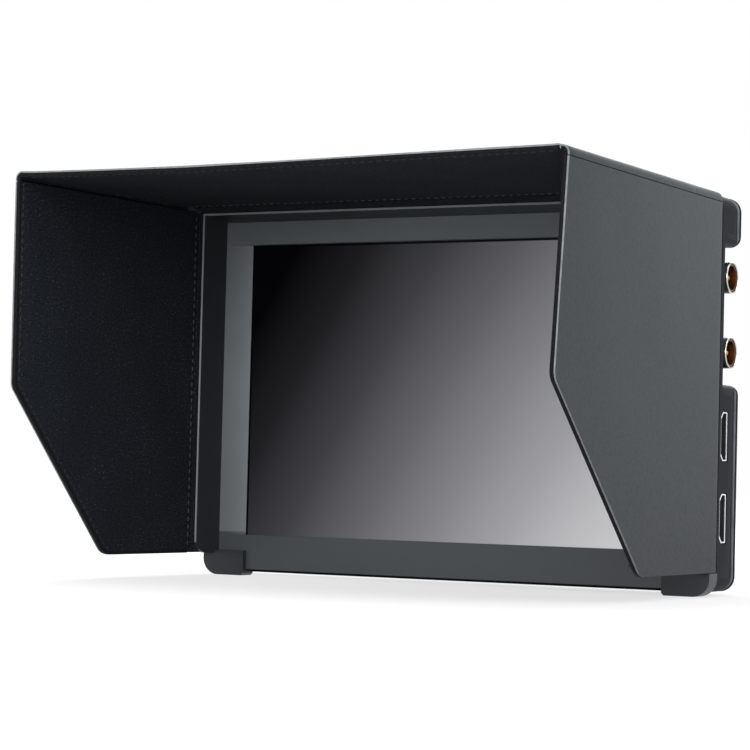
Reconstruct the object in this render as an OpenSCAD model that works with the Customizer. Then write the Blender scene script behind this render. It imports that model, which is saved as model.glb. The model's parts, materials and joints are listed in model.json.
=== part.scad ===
// Camera field monitor with a folding sun hood.
//
// X runs to the viewer's right, Y from the screen to the back, and Z up.
// The origin is at the mouth of the tripod thread in the underside. Heights in the values below are
// counted from the front bezel's lower edge.
// The hood stands open. Its side flaps fold inwards over the screen, left one first,
// and the top flap folds down over both.

/* [Screen] */
// Width of the picture on the panel
picture_w = 150.8; // [140:0.2:156]
// Height of the picture on the panel
picture_h = 94.2; // [86:0.2:98]
// Dark border left showing round the picture
picture_border = 1.15; // [0.5:0.05:3]
// How far the panel lies behind the bars of the front bezel
screen_recess = 3; // [2:0.1:4]
// Thickness of the display glass
glass_t = 2; // [1.4:0.1:2.6]
// How far the display glass runs on past the picture, under the bezel
glass_margin = 1.6; // [1.2:0.1:2]
// Thickness of the backlight behind the glass
backlight_t = 2.6; // [1.8:0.1:3.2]
// Sheet thickness of the tray that holds the panel
tray_t = 0.6; // [0.4:0.1:0.8]

/* [Front bezel] */
// Height of the bar below the screen
low_bar_h = 11.3; // [10:0.1:14]
// Height of the bar above the screen
top_bar_h = 8; // [7:0.1:12]
// Width of the sloping strip at each side of the screen
bevel_w = 8.5; // [5:0.1:12]
// Width of the flat rim outside each sloping strip
rim_w = 1.35; // [1:0.05:2.5]
// Corner radius of the front bezel
bezel_r = 3; // [2:0.1:5]
// Thickness of the bezel's side walls
bezel_wall = 1.8; // [1.4:0.1:2.4]
// Depth of the front bezel up to the middle casing
bezel_d = 4.5; // [4:0.1:6]
// How far the bezel's walls reach into the middle casing
lap_d = 4; // [3:0.1:4.4]
// Distance of the status light from the centre
light_x = 63.5; // [30:0.5:72]
// Height of the status light above the bezel's lower edge
light_z = 6.6; // [4:0.1:8]
// Radius of the status light
light_r = 0.7; // [0.5:0.1:1.2]

/* [Rear casing] */
// Distance from the bezel's front face to the tripod thread
front_to_thread = 11; // [10:0.1:12]
// Depth of the middle casing
middle_d = 14.1; // [13.6:0.1:17]
// Wall thickness of the middle casing
casing_wall = 2.2; // [1.8:0.1:2.6]
// Corner radius of the middle casing
casing_r = 4.6; // [4:0.1:8]
// Gap between the tops of the front bezel and the middle casing
casing_rise = 4.4; // [3:0.1:5]
// How far the middle casing reaches below the bezel's lower edge
casing_drop = 0.95; // [0.5:0.05:1.4]
// How far the hood stands out past the middle casing at each side
hood_reveal = 0.3; // [0.1:0.1:1]
// Inward taper at the back edge of the middle casing
taper = 0.8; // [0.4:0.1:1.2]
// Length of that taper
taper_d = 3.8; // [2:0.1:5]
// Thickness of the rear cover
cover_t = 1.8; // [1.4:0.1:2.6]
// Chamfer round the rim of the rear cover
cover_chamfer = 0.4; // [0.2:0.1:0.6]
// Clearance between pieces that slip into one another
fit = 0.1; // [0.05:0.05:0.3]

/* [Jack recess] */
// Height of the recess floor's lower side
recess_z0 = 62.4; // [60:0.1:63]
// Height of the recess floor's upper side
recess_z1 = 105; // [103:0.1:106]
// Radius of the outer corners beside the recess
recess_r = 3.5; // [2:0.1:4]
// Height of the lower coaxial jack
jack_z = 72.1; // [70:0.1:74]
// Distance between the two coaxial jacks
jack_pitch = 23; // [20:0.1:24]
// Distance of the coaxial jacks behind the middle casing's front edge
jack_in = 9.2; // [8.6:0.1:9.4]
// Outer radius of a coaxial jack
jack_r = 4.85; // [4.6:0.05:5]
// Inner radius of a coaxial jack's shell
jack_bore_r = 4.05; // [3.9:0.05:4.2]

/* [Side ports] */
// Height of the lower video port's centre
video_z = 21.5; // [21:0.1:24]
// Distance between the two video ports
video_pitch = 24.9; // [20:0.1:26]
// Gap between the middle casing's front edge and a video port
video_in = 1.85; // [1.4:0.05:2.2]
// Length of a video port's shell
video_l = 15; // [14.6:0.1:15.4]
// Width of a video port's shell
video_w = 5.5; // [5:0.1:5.6]
// Depth of a video port
video_d = 9.6; // [8:0.1:10]
// Height of the power jack
power_z = 34; // [30:0.5:44]
// Height of the headphone jack
phones_z = 56; // [52:0.5:80]

/* [Battery plate] */
// Width of the battery plate
plate_w = 46; // [44:0.5:50]
// Height of the battery plate
plate_h = 70; // [66:0.5:76]
// Height of the battery plate's lower edge
plate_z = 24; // [20:0.5:30]
// Thickness of the battery plate's base
plate_t = 4; // [3.6:0.1:5]
// Height of the battery plate's side rails
rail_h = 4.5; // [4:0.1:6]

/* [Buttons] */
// Distance between buttons
button_pitch = 14; // [12.5:0.5:20]
// Distance of the buttons behind the middle casing's front edge
button_in = 8.1; // [7.5:0.1:8.6]
// Length of a button cap
button_l = 9; // [7:0.1:10]
// Width of a button cap
button_w = 4.4; // [3.6:0.1:5]
// How far a button stands out
button_h = 0.8; // [0.6:0.1:1.2]
// Travel of a button
button_travel = 0.6; // [0.3:0.1:0.6]
// Gap round a button in its hole
button_gap = 0.2; // [0.1:0.05:0.3]

/* [Hood frame] */
// Clearance between the hood frame and the bezel
frame_gap = 0.2; // [0.1:0.05:0.3]
// Clearance in front of and behind the hood frame
frame_seat = 0.1; // [0.05:0.05:0.2]
// Wall thickness of the hood frame at the sides
frame_wall = 1.6; // [1.2:0.1:2.4]
// Wall thickness of the hood frame at the top
frame_roof = 2.8; // [2:0.1:3.4]
// How far the hood frame's lip stands in front of the bezel
lip_d = 10.5; // [8:0.1:14]
// How far the lip hangs down over the bezel's top bar
lip_drop = 0.5; // [0.3:0.1:3]
// Thickness of the lip at its front edge
lip_edge = 0.6; // [0.4:0.1:1.2]
// How far the lip's front edge lies below the top of the hood frame
lip_fall = 1.4; // [0.4:0.1:1.8]
// Length over which the top of the lip slopes down to its front edge
lip_slope = 4; // [2:0.1:8]
// Radius at the lower end of the lip
lip_r = 5; // [3:0.1:6]
// Distance between the two bottom hooks
hook_span = 148.6; // [130:0.2:156]
// Height of the hooks in front of the bottom bar
hook_h = 6; // [5.6:0.1:8]
// Thickness of the hooks in front of the bottom bar
hook_t = 1.9; // [1.5:0.1:2.4]
// How far the hooks reach below the bezel
hook_drop = 2.1; // [1.4:0.1:2.4]
// Outer corner radius of the hooks
hook_r = 5.5; // [4:0.1:6]

/* [Hood flaps] */
// Whole thickness of a flap
flap_t = 1.6; // [1.2:0.1:2]
// Thickness of the outer skin
skin_t = 0.5; // [0.3:0.05:0.6]
// Thickness of the inner lining
lining_t = 0.4; // [0.2:0.05:0.4]
// How far the stiff board stays inside the skin's edges
board_inset = 0.8; // [0.5:0.1:2]
// Height of the side flaps' lower edge above the bezel's lower edge
flap_z = 5.2; // [4:0.1:6]
// Radius of the soft corners between the top and the side flaps
corner_r = 2.4; // [2.2:0.1:4]
// Gap between a side flap and the top's soft corner
corner_gap = 0.2; // [0.1:0.05:0.4]
// Distance from the lip to the left flap's crease
first_crease = 2; // [1.8:0.1:4]
// Gap between folded flaps
layer_gap = 0.4; // [0.2:0.05:1]
// Room behind the folded top flap, which sags a little
sag_gap = 1.5; // [0:0.1:3]
// Gap that keeps a crease free
crease_gap = 0.15; // [0.1:0.05:0.3]
// Reach of the right flap's front edge at the top, from the bezel
right_reach = 109; // [100:0.5:120]
// Reach of the right flap at its knee
right_knee_reach = 115.1; // [100:0.1:120]
// Height of the right flap's knee
right_knee_z = 58.7; // [45:0.1:70]
// Reach of the right flap's lower edge
right_low_reach = 55; // [30:0.1:80]
// Reach of the left flap's front edge at the top, from the bezel
left_reach = 110.8; // [100:0.1:120]
// Reach of the left flap at its knee
left_knee_reach = 110.3; // [100:0.1:120]
// Height of the left flap's knee
left_knee_z = 55.6; // [45:0.1:70]
// Reach of the left flap's lower edge
left_low_reach = 61.8; // [30:0.1:80]
// Radius of the side flaps' middle corners
flap_r = 4; // [2:0.1:6]
// Radius of the side flaps' lower corners
low_r = 7; // [3:0.1:9]

/* [Hidden] */
$fn = 48;
cut = 1; // how far a cutter runs past the face that it opens
join = 0.1; // overlap between two shapes of one piece

// Across: half widths from the middle outwards
window_half = picture_w / 2 + picture_border;
strip_half = window_half + bevel_w;
bezel_half = strip_half + rim_w;
frame_half = bezel_half + frame_gap + frame_wall;
hood_half = frame_half + flap_t;
lip_mouth = frame_half - lip_edge; // half width inside the lip's front edge
casing_half = hood_half - hood_reveal;
top_half = hood_half - corner_r;
casing_low = -casing_drop;

// Upwards
window_z0 = low_bar_h;
window_z1 = window_z0 + picture_h + 2 * picture_border;
window_mid = (window_z0 + window_z1) / 2;
bezel_top = window_z1 + top_bar_h;
lip_z = bezel_top - lip_drop;
frame_top = bezel_top + frame_gap + frame_roof;
lip_mouth_z = frame_top - lip_fall - lip_edge;
hood_top = frame_top + flap_t;
casing_top = bezel_top + casing_rise;
flap_top = hood_top - corner_r - corner_gap;

// From front to back
front_y = -front_to_thread;
screen_y = front_y + screen_recess;
glass_back = screen_y + glass_t;
tray_y = glass_back + backlight_t;
tray_back = tray_y + tray_t;
step_y = front_y + bezel_d;
lap_y = step_y + lap_d;
cover_y = step_y + middle_d;
back_y = cover_y + cover_t;
plate_back = back_y + plate_t;
lip_y = front_y - lip_d;
seat_y = front_y - frame_seat; // where the hood frame meets the bezel's face
rear_y = step_y - frame_seat; // where the hood frame ends in front of the middle casing
hook_y = seat_y - hook_t;
left_crease = lip_y - first_crease;
right_crease = left_crease - flap_t - layer_gap;
top_crease = right_crease - flap_t - layer_gap - sag_gap;

// Status light
light_rim = 0.5; // how far its foot stands out behind the bezel
light_foot = 1;

// Panel stack
cell_w = picture_w + 2 * glass_margin;
cell_h = picture_h + 2 * glass_margin;
tray_w = cell_w + 2 * (fit + tray_t);
tray_h = cell_h + 2 * (fit + tray_t);

// Walls of the rear casing
inner_half = casing_half - casing_wall;
recess_x = tray_w / 2 + fit + casing_wall; // floor of the jack recess, just outside the tray
recess_y = step_y + casing_wall;

// Circuit board: its front face carries the video ports
board_t = 1.6;
video_y = step_y + video_in + video_w / 2;
board_y = video_y + video_w / 2;
board_gap = 1; // space kept free round the board
side_body_l = 11; // length of the jacks on the left
board_x0 = -inner_half + side_body_l + board_gap;
board_x1 = recess_x - casing_wall - board_gap;
board_edge = inner_half - 3;
board_z0 = 13;
board_z1 = 105;
spreader_t = 1.2;
spreader_rim = 8; // how far the heat spreader runs on past the standoffs
standoff_r = 2.5;
standoff_x = 52;
standoff_z0 = 30;
standoff_z1 = 92;
standoff_floor = 0.5;

// Button board, hung from two posts
key_board_t = 1;
key_board_w = 8.6;
post_r = 1.2;

// Chips on the board's rear face as [x, z, width, height, thickness]
chips = [
  [-12, 50, 24, 24, 1.6], [22, 58, 14, 12, 1.2], [-38, 60, 14, 14, 1.2],
  [-50, 82, 20, 6, 3], [30, 28, 12, 12, 3.2]
];
socket_t = 1.2;
socket_h = 4;
socket_z = 15.5;
socket_rim = 2;
ribbon_x = -44;
ribbon_w = 24;
ribbon_t = 0.3;

// Screws: every one has the same shank, head and pilot
screw_r = 1.2;
screw_fit = 0.05;
head_r = 2.75;
head_t = 1.1;
head_fit = 0.15;
cross_l = 2.8;
cross_w = 0.6;
cross_d = 0.8;
boss_r = 3.5;
boss_l = 8;
pilot_floor = 1; // left solid below a screw hole
tip_gap = 1; // left free below a screw's tip
screw_x = casing_half - 9.5;
screw_z0 = casing_low + 9.95;
screw_z1 = casing_top - 7;

// Tripod socket
thread_r = 3.175;
insert_r = 4.6;
insert_l = 7.5;
pad_w = 22;
pad_wall = 0.5;
pad_gap = 1.4; // between the block round the socket and the panel tray
pad_back = insert_r + pad_wall;
pad_h = window_mid - tray_h / 2 - pad_gap;

// Coaxial jacks
jack_y = step_y + jack_in;
jack_x0 = recess_x - casing_wall;
jack_x1 = casing_half; // the jacks end level with the casing's side
jack_floor = 3;
lug_r = 1;
lug_out = 0.75;
lug_back = 3.2;
nut_flat = 12.6;
nut_t = 2.2;
insulator_r = 2.4;
insulator_in = 2.4; // how far the insulator ends inside the mouth
pin_r = 0.65;
pin_in = 1.6;
sleeve_t = 0.35;
sleeve_in = 0.4;
jack_heights = [jack_z, jack_z + jack_pitch];
video_heights = [video_z, video_z + video_pitch];

// Video ports
port_wall = 0.5;
port_fit = 0.25;
port_sunk = 0.2;
port_floor = 1.2;
port_x1 = casing_half - port_sunk;
tongue_t = 1;
tongue_l = 11.6;
tongue_in = 1.5;

// Left-hand jacks
power_r = 3;
power_body_w = 8.6;
power_body_h = 11;
phones_r = 1.8;
phones_body_w = 6;
phones_body_h = 8;
side_jack_y = max(lap_y, tray_back) + fit + power_body_w / 2;
side_hole_fit = 0.2;
nose_t = 1;
nose_l = casing_wall;
power_depth = 9.5;
power_pin_r = 1;
power_pin_in = 1.2;
phones_depth = 12;

// Hood frame
wall_in = frame_half - frame_wall;
arch_r = corner_r - flap_t; // outer corners of the frame, under the soft corners
top_r = 0.6; // the side flaps' upper front corners, which meet the soft corners

// Skin, board and lining of a flap lie between these half widths
skin_in = hood_half - skin_t;
lining_out = frame_half + lining_t;
hook_gap = 0.2; // between a hook's outer block and the skin above it
hook_chamfer = 0.8;

// Battery plate
contact_x = [-8, 0, 8];
plate_r = 2;
rail_t = 3;
rail_in = 2; // how far the rails end inside the plate's ends
claw_in = 1.4; // how far the claws on the rails stand inwards
claw_t = 1.5;
claw_l = 14;
claw_z = [14, 44]; // heights of the claws' lower ends above the plate's lower edge
block_in = 5;
block_z0 = 1;
block_h = 6;
blade_w = 0.8;
blade_y0 = 1; // from the plate's face to a blade
blade_d = 2.5;
blade_z0 = 3;
blade_out = 5;
plate_screw_x = 14;
plate_screw_z = [9, 47]; // heights of the screws above the plate's lower edge
plate_tip_gap = 0.4; // left free between a plate screw's tip and the cover's inner face
latch_l = 8;
latch_w = 6;
latch_out = 1.2;
latch_rim = 1;
latch_t = 1;
latch_gap = 0.2;
latch_play = 0.1;
latch_in = 12; // from the plate's upper edge
latch_z = plate_z + plate_h - latch_in;
latch_pocket = plate_back - latch_t;
latch_foot = latch_pocket - latch_play - latch_t;
spring_r = 2.3;
spring_wire = 0.3;

// Buttons
button_count = 5;
button_y = step_y + button_in;
flange_out = 0.8;
flange_t = 1.6;
button_play = 0.05; // play under the casing's roof
button_z = casing_top - casing_wall - button_play;
switch_gap = 0.1;
switch_h = 1.9;
switch_w = 4.5;
switch_rim = 0.5; // how far a switch's plunger stands out
plunger_r = 1;
switch_top = button_z - flange_t - button_travel - switch_gap;
key_board_z = switch_top - switch_h;
key_half = (button_count - 1) / 2 * button_pitch + button_l / 2 + flange_out + 2 * post_r + 0.3;

// Cooling slots in the rear cover
slot_l = 22;
slot_w = 1.6;
slot_pitch = 4;
slot_rows = 6;
slot_x = 52;
slot_z0 = 66;
grille_z0 = 14;
grille_rows = 4;
speaker_w = 28;
speaker_h = 18;
speaker_d = 5;
speaker_rim = 2;

// ---- Shapes ----

// An outline in X and Z, thickened from y0 back to y1
module slab(y0, y1) {
  translate([0, y1, 0]) rotate([90, 0, 0]) linear_extrude(y1 - y0) children();
}

// An outline in Y and Z, thickened from x0 to x1
module side_slab(x0, x1) {
  translate([x0, 0, 0]) rotate([90, 0, 90]) linear_extrude(x1 - x0) children();
}

// A flat rectangle with round corners
module round_rect(x0, z0, x1, z1, r) {
  translate([x0 + r, z0]) square([x1 - x0 - 2 * r, z1 - z0]);
  translate([x0, z0 + r]) square([x1 - x0, z1 - z0 - 2 * r]);
  for (x = [x0 + r, x1 - r], z = [z0 + r, z1 - r])
    translate([x, z]) circle(r);
}

// A block with round corners whose edge follows a profile of [inset, y] points
module edged_block(x0, z0, x1, z1, r, profile) {
  last = len(profile) - 1;
  back = [for (i = [last:-1:0]) profile[i]];
  translate([0, 0, z0 + r])
    linear_extrude(z1 - z0 - 2 * r)
      polygon(concat([for (p = profile) [x1 - p[0], p[1]]], [for (p = back) [x0 + p[0], p[1]]]));
  translate([x0 + r, 0, 0])
    rotate([90, 0, 90])
      linear_extrude(x1 - x0 - 2 * r)
        polygon(concat([for (p = profile) [p[1], z1 - p[0]]], [for (p = back) [p[1], z0 + p[0]]]));
  for (x = [x0 + r, x1 - r], z = [z0 + r, z1 - r])
    translate([x, 0, z])
      rotate([-90, 0, 0])
        rotate_extrude()
          polygon(concat(
            [[0, profile[0][1]]], [for (p = profile) [r - p[0], p[1]]], [[0, profile[last][1]]]
          ));
}

// A box from its lowest corner to its highest one
module span(low, high) {
  translate(low) cube(high - low);
}

// A rod along Y
module rod_y(x, z, r, y0, y1) {
  translate([x, y1, z]) rotate([90, 0, 0]) cylinder(r = r, h = y1 - y0);
}

// A rod along X
module rod_x(y, z, r, x0, x1) {
  translate([x0, y, z]) rotate([0, 90, 0]) cylinder(r = r, h = x1 - x0);
}

// The length of the flat part beside a rounded corner
function setback(a, b, c, r) =
  let (u = (a - b) / norm(a - b), v = (c - b) / norm(c - b), half = acos(u * v) / 2)
  r / tan(half);

// The points of an arc of radius r that rounds the corner b between a and c
function arc(a, b, c, r, steps = 6) =
  let (
    u = (a - b) / norm(a - b), v = (c - b) / norm(c - b), half = acos(u * v) / 2,
    centre = b + (u + v) / norm(u + v) * r / sin(half),
    start = b + u * setback(a, b, c, r) - centre,
    end = b + v * setback(a, b, c, r) - centre,
    turn = acos(start * end / (r * r)),
    side = sign(start.x * end.y - start.y * end.x)
  )
  [for (i = [0:steps]) let (t = side * turn * i / steps)
    centre + [start.x * cos(t) - start.y * sin(t), start.x * sin(t) + start.y * cos(t)]];

// An outline with the corners named in radii rounded, where a radius of 0 stays sharp
function rounded(points, radii) =
  let (n = len(points))
  [for (i = [0:n - 1]) each (radii[i] == 0 ? [points[i]]
    : arc(points[(i + n - 1) % n], points[i], points[(i + 1) % n], radii[i]))];

// Every piece is drawn from the bezel's lower edge, and then raised so that the underside lies at zero
module raised() { translate([0, 0, casing_drop]) children(); }

// ---- Front ----

module front_bezel() {
  lap_z0 = casing_low + casing_wall + fit;
  lap_z1 = min(casing_top - casing_wall - fit, bezel_top);
  color("#43494c") raised() difference() {
    union() {
      slab(front_y, step_y) round_rect(-bezel_half, 0, bezel_half, bezel_top, bezel_r);
      slab(screen_y, lap_y) round_rect(-bezel_half, lap_z0, bezel_half, lap_z1, bezel_r);
    }
    // window between the two bars, with sloping strips at its sides
    translate([0, 0, window_z0])
      linear_extrude(window_z1 - window_z0)
        polygon([
          [-window_half, screen_y + cut], [window_half, screen_y + cut],
          [window_half, screen_y], [strip_half, front_y], [strip_half, front_y - cut],
          [-strip_half, front_y - cut], [-strip_half, front_y], [-window_half, screen_y]
        ]);
    // hollow behind the face
    slab(screen_y, lap_y + cut)
      square_span(-bezel_half + bezel_wall, lap_z0 + bezel_wall,
                  bezel_half - bezel_wall, lap_z1 - bezel_wall);
    // room for the jack recess, the tripod socket and the video ports
    span([recess_x - casing_wall - fit, step_y - fit, recess_z0 - casing_wall - fit],
         [bezel_half + cut, lap_y + cut, recess_z1 + casing_wall + fit]);
    span([-pad_w / 2 - fit, step_y - fit, -cut], [pad_w / 2 + fit, lap_y + cut, pad_h + fit]);
    for (z = video_heights)
      span([bezel_half - bezel_wall - cut, step_y + video_in - board_gap, z - video_l / 2 - board_gap],
           [bezel_half + cut, lap_y + cut, z + video_l / 2 + board_gap]);
    rod_y(light_x, light_z, light_r + fit, front_y - cut, screen_y + cut);
  }
}

// A plain rectangle between two corners
module square_span(x0, z0, x1, z1) {
  translate([x0, z0]) square([x1 - x0, z1 - z0]);
}

module status_light() {
  color("#20262a") raised() union() {
    rod_y(light_x, light_z, light_r, front_y, screen_y);
    rod_y(light_x, light_z, light_r + light_rim, screen_y, screen_y + light_foot);
  }
}

module lcd_panel() {
  color("#2a2b2e") raised() slab(screen_y, glass_back)
    square_span(-cell_w / 2, window_mid - cell_h / 2, cell_w / 2, window_mid + cell_h / 2);
}

module backlight_unit() {
  color("#e8e8e2") raised() slab(glass_back, tray_y)
    square_span(-cell_w / 2, window_mid - cell_h / 2, cell_w / 2, window_mid + cell_h / 2);
}

module panel_tray() {
  color("#b9bcbe") raised() difference() {
    slab(screen_y + fit, tray_back)
      square_span(-tray_w / 2, window_mid - tray_h / 2, tray_w / 2, window_mid + tray_h / 2);
    slab(screen_y - cut, tray_y)
      square_span(-cell_w / 2 - fit, window_mid - cell_h / 2 - fit,
                  cell_w / 2 + fit, window_mid + cell_h / 2 + fit);
  }
}

// ---- Electronics ----

module at_standoffs() {
  for (x = [-standoff_x, standoff_x], z = [standoff_z0, standoff_z1]) translate([x, 0, z]) children();
}

module heat_spreader() {
  color("#c8cacc") raised() difference() {
    slab(tray_back, tray_back + spreader_t)
      square_span(-standoff_x - spreader_rim, standoff_z0 - spreader_rim,
                  standoff_x + spreader_rim, standoff_z1 + spreader_rim);
    at_standoffs() rod_y(0, 0, standoff_r + fit, tray_back - cut, board_y);
  }
}

module board_standoffs() {
  color("#b98f45") raised() at_standoffs() difference() {
    rod_y(0, 0, standoff_r, tray_back, board_y);
    rod_y(0, 0, screw_r + screw_fit, tray_back + standoff_floor, board_y + cut);
  }
}

module main_board() {
  color("#1f5a3a") raised() difference() {
    slab(board_y, board_y + board_t) union() {
      square_span(board_x0, board_z0, board_x1, board_z1);
      square_span(0, board_z0, board_edge, recess_z0 - casing_wall - board_gap);
    }
    // corner given up to the loudspeaker
    span([board_x0 - cut, board_y - cut, board_z0 - cut],
         [board_x0 + speaker_w + 2 * board_gap, board_y + board_t + cut,
          grille_z0 + speaker_h + 2 * board_gap]);
    at_standoffs() rod_y(0, 0, screw_r + screw_fit, board_y - cut, board_y + board_t + cut);
  }
}

module board_chips() {
  y = board_y + board_t;
  color("#17181a") raised() {
    for (c = chips) span([c[0], y, c[1]], [c[0] + c[2], y + c[4], c[1] + c[3]]);
    span([ribbon_x - socket_rim, board_y - socket_t, socket_z],
         [ribbon_x + ribbon_w + socket_rim, board_y, socket_z + socket_h]);
  }
}

// Runs under the tray and up to its socket on the board
module ribbon_cable() {
  tray_z0 = window_mid - tray_h / 2;
  rise_y = board_y - socket_t / 2 - ribbon_t;
  color("#c77f3c") raised() union() {
    span([ribbon_x, glass_back, tray_z0 - ribbon_t], [ribbon_x + ribbon_w, rise_y + ribbon_t, tray_z0]);
    span([ribbon_x, rise_y, tray_z0 - ribbon_t], [ribbon_x + ribbon_w, rise_y + ribbon_t, socket_z]);
  }
}

module speaker() {
  color("#1a1b1d") raised() difference() {
    span([board_x0, cover_y - speaker_d, grille_z0], [board_x0 + speaker_w, cover_y, grille_z0 + speaker_h]);
    rod_y(board_x0 + speaker_w / 2, grille_z0 + speaker_h / 2, speaker_h / 2 - speaker_rim,
          cover_y - speaker_rim, cover_y + cut);
  }
}

// ---- Casing ----

module at_casing_screws() {
  for (x = [-screw_x, screw_x], z = [screw_z0, screw_z1]) translate([x, 0, z]) children();
}

// The space of the jack recess, grown by g into the walls round it
module recess_space(g) {
  span([recess_x - g, recess_y - g, recess_z0 - g], [casing_half + cut, back_y + cut, recess_z1 + g]);
}

// Cuts the jack recess out of the right-hand side and rounds the corners beside it
module recess_cut() {
  recess_space(0);
  outer = casing_half - recess_r;
  for (edge = [[recess_z0, 1], [recess_z1, -1]]) {
    z = edge[0];
    side = edge[1];
    difference() {
      span([outer, recess_y, min(z - side * recess_r, z + side * cut)],
           [casing_half + cut, back_y + cut, max(z - side * recess_r, z + side * cut)]);
      rod_y(outer, z - side * recess_r, recess_r, recess_y - cut, back_y + 2 * cut);
    }
  }
}

module middle_casing() {
  z0 = casing_low;
  color("#4a4f53") raised() difference() {
    union() {
      difference() {
        edged_block(-casing_half, z0, casing_half, casing_top, casing_r,
                    [[0, step_y], [0, cover_y - taper_d], [taper, cover_y]]);
        difference() {
          slab(step_y - cut, cover_y + cut)
            round_rect(-inner_half, z0 + casing_wall, inner_half, casing_top - casing_wall,
                       casing_r - casing_wall);
          recess_space(casing_wall);
        }
      }
      // screw pillars
      at_casing_screws() rod_y(0, 0, boss_r, cover_y - boss_l, cover_y);
      // posts that the button board hangs from
      for (x = [-1, 1]) translate([x * (key_half - post_r), button_y, key_board_z])
        cylinder(r = post_r, h = casing_top - casing_wall + join - key_board_z);
      // block round the tripod socket
      span([-pad_w / 2, step_y, casing_low], [pad_w / 2, pad_back, pad_h]);
    }
    recess_cut();
    at_casing_screws() rod_y(0, 0, screw_r + screw_fit, cover_y - boss_l + pilot_floor, cover_y + cut);
    translate([0, 0, casing_low - cut]) cylinder(r = insert_r, h = insert_l + cut);
    // coaxial jacks
    for (z = jack_heights) rod_x(jack_y, z, jack_r + fit, jack_x0 - cut, recess_x + cut);
    // video ports
    for (z = video_heights)
      side_slab(inner_half - cut, casing_half + cut) port_outline(z, port_fit);
    // power and headphone jacks
    rod_x(side_jack_y, power_z, power_r + nose_t + side_hole_fit, -casing_half - cut, -inner_half + cut);
    rod_x(side_jack_y, phones_z, phones_r + nose_t + side_hole_fit, -casing_half - cut, -inner_half + cut);
    // buttons
    at_buttons() translate([0, 0, casing_top - casing_wall - cut])
      linear_extrude(casing_wall + 2 * cut) pill(button_l + 2 * button_gap, button_w + 2 * button_gap);
  }
}

module rear_cover() {
  color("#3d4245") raised() difference() {
    edged_block(-casing_half, casing_low, casing_half, casing_top, casing_r,
                [[cover_chamfer, cover_y], [0, cover_y + cover_chamfer],
                 [0, back_y - cover_chamfer], [cover_chamfer, back_y]]);
    recess_cut();
    at_casing_screws() rod_y(0, 0, screw_r + screw_fit, cover_y - cut, back_y + cut);
    at_casing_screws() rod_y(0, 0, head_r + head_fit, back_y - head_t, back_y + cut);
    at_plate_screws() rod_y(0, 0, screw_r + screw_fit, cover_y - cut, back_y + cut);
    // cooling slots either side of the battery plate
    for (x = [-slot_x, slot_x], n = [0:slot_rows - 1]) slot(x, slot_z0 + n * slot_pitch);
    // loudspeaker grille
    for (n = [0:grille_rows - 1])
      slot(board_x0 + speaker_w / 2, grille_z0 + speaker_h / 2 + (n - (grille_rows - 1) / 2) * slot_pitch);
  }
}

// One round-ended slot through the rear cover
module slot(x, z) {
  slab(cover_y - cut, back_y + cut) translate([x, z]) pill(slot_l, slot_w);
}

// A flat shape with round ends
module pill(l, w) {
  square([l - w, w], center = true);
  for (x = [-1, 1]) translate([x * (l - w) / 2, 0]) circle(w / 2);
}

// A cross-head screw whose head's top is at y_top and whose shank is l long
module screw(y_top, l) {
  difference() {
    union() {
      rod_y(0, 0, head_r, y_top - head_t, y_top);
      rod_y(0, 0, screw_r, y_top - l, y_top);
    }
    span([-cross_l / 2, y_top - cross_d, -cross_w / 2], [cross_l / 2, y_top + cut, cross_w / 2]);
    span([-cross_w / 2, y_top - cross_d, -cross_l / 2], [cross_w / 2, y_top + cut, cross_l / 2]);
  }
}

module casing_screws() {
  color("#26292b") raised() at_casing_screws() screw(back_y, cover_t + boss_l - pilot_floor - tip_gap);
}

module tripod_insert() {
  color("#b08d4c") raised() translate([0, 0, casing_low]) difference() {
    cylinder(r = insert_r, h = insert_l);
    translate([0, 0, -cut]) cylinder(r = thread_r, h = insert_l + 2 * cut);
  }
}

// ---- Coaxial jacks ----

module jack_shell(z) {
  color("#2b2d2f") raised() difference() {
    union() {
      rod_x(jack_y, z, jack_r, jack_x0, jack_x1);
      for (side = [-1, 1])
        translate([jack_x1 - lug_back, jack_y, z]) rotate([side * 90, 0, 0])
          cylinder(r = lug_r, h = jack_r + lug_out);
    }
    rod_x(jack_y, z, jack_bore_r, jack_x0 + jack_floor, jack_x1 + cut);
  }
}

module coax_in_jack() { jack_shell(jack_heights[1]); }
module coax_out_jack() { jack_shell(jack_heights[0]); }

module coax_insulators() {
  color("#d9d4c8") raised() for (z = jack_heights) difference() {
    rod_x(jack_y, z, insulator_r, jack_x0 + jack_floor, jack_x1 - insulator_in);
    rod_x(jack_y, z, pin_r, jack_x0, jack_x1);
  }
}

// The centre pin and the sprung sleeve of each jack
module coax_contacts() {
  color("#c08a4e") raised() for (z = jack_heights) union() {
    rod_x(jack_y, z, pin_r, jack_x0 + jack_floor, jack_x1 - pin_in);
    difference() {
      rod_x(jack_y, z, jack_bore_r, jack_x0 + jack_floor, jack_x1 - sleeve_in);
      rod_x(jack_y, z, jack_bore_r - sleeve_t, jack_x0, jack_x1);
    }
  }
}

module coax_nuts() {
  color("#a9acad") raised() for (z = jack_heights) difference() {
    translate([recess_x, jack_y, z]) rotate([0, 90, 0])
      cylinder(d = nut_flat / cos(30), h = nut_t, $fn = 6);
    rod_x(jack_y, z, jack_r + fit, jack_x0, jack_x1);
  }
}

// ---- Video ports ----

// The mouth of a video port in Y and Z, its two front corners cut off, grown by g
module port_outline(z, g) {
  w = video_w / 2 + g;
  l = video_l / 2 + g;
  c = video_w / 3;
  polygon([
    [video_y + w, z - l], [video_y + w, z + l], [video_y - w + c, z + l],
    [video_y - w, z + l - c], [video_y - w, z - l + c], [video_y - w + c, z - l]
  ]);
}

module video_port(z) {
  color("#b4b7b8") raised() difference() {
    side_slab(port_x1 - video_d, port_x1) port_outline(z, 0);
    side_slab(port_x1 - video_d + port_floor, port_x1 + cut) port_outline(z, -port_wall);
  }
}

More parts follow.
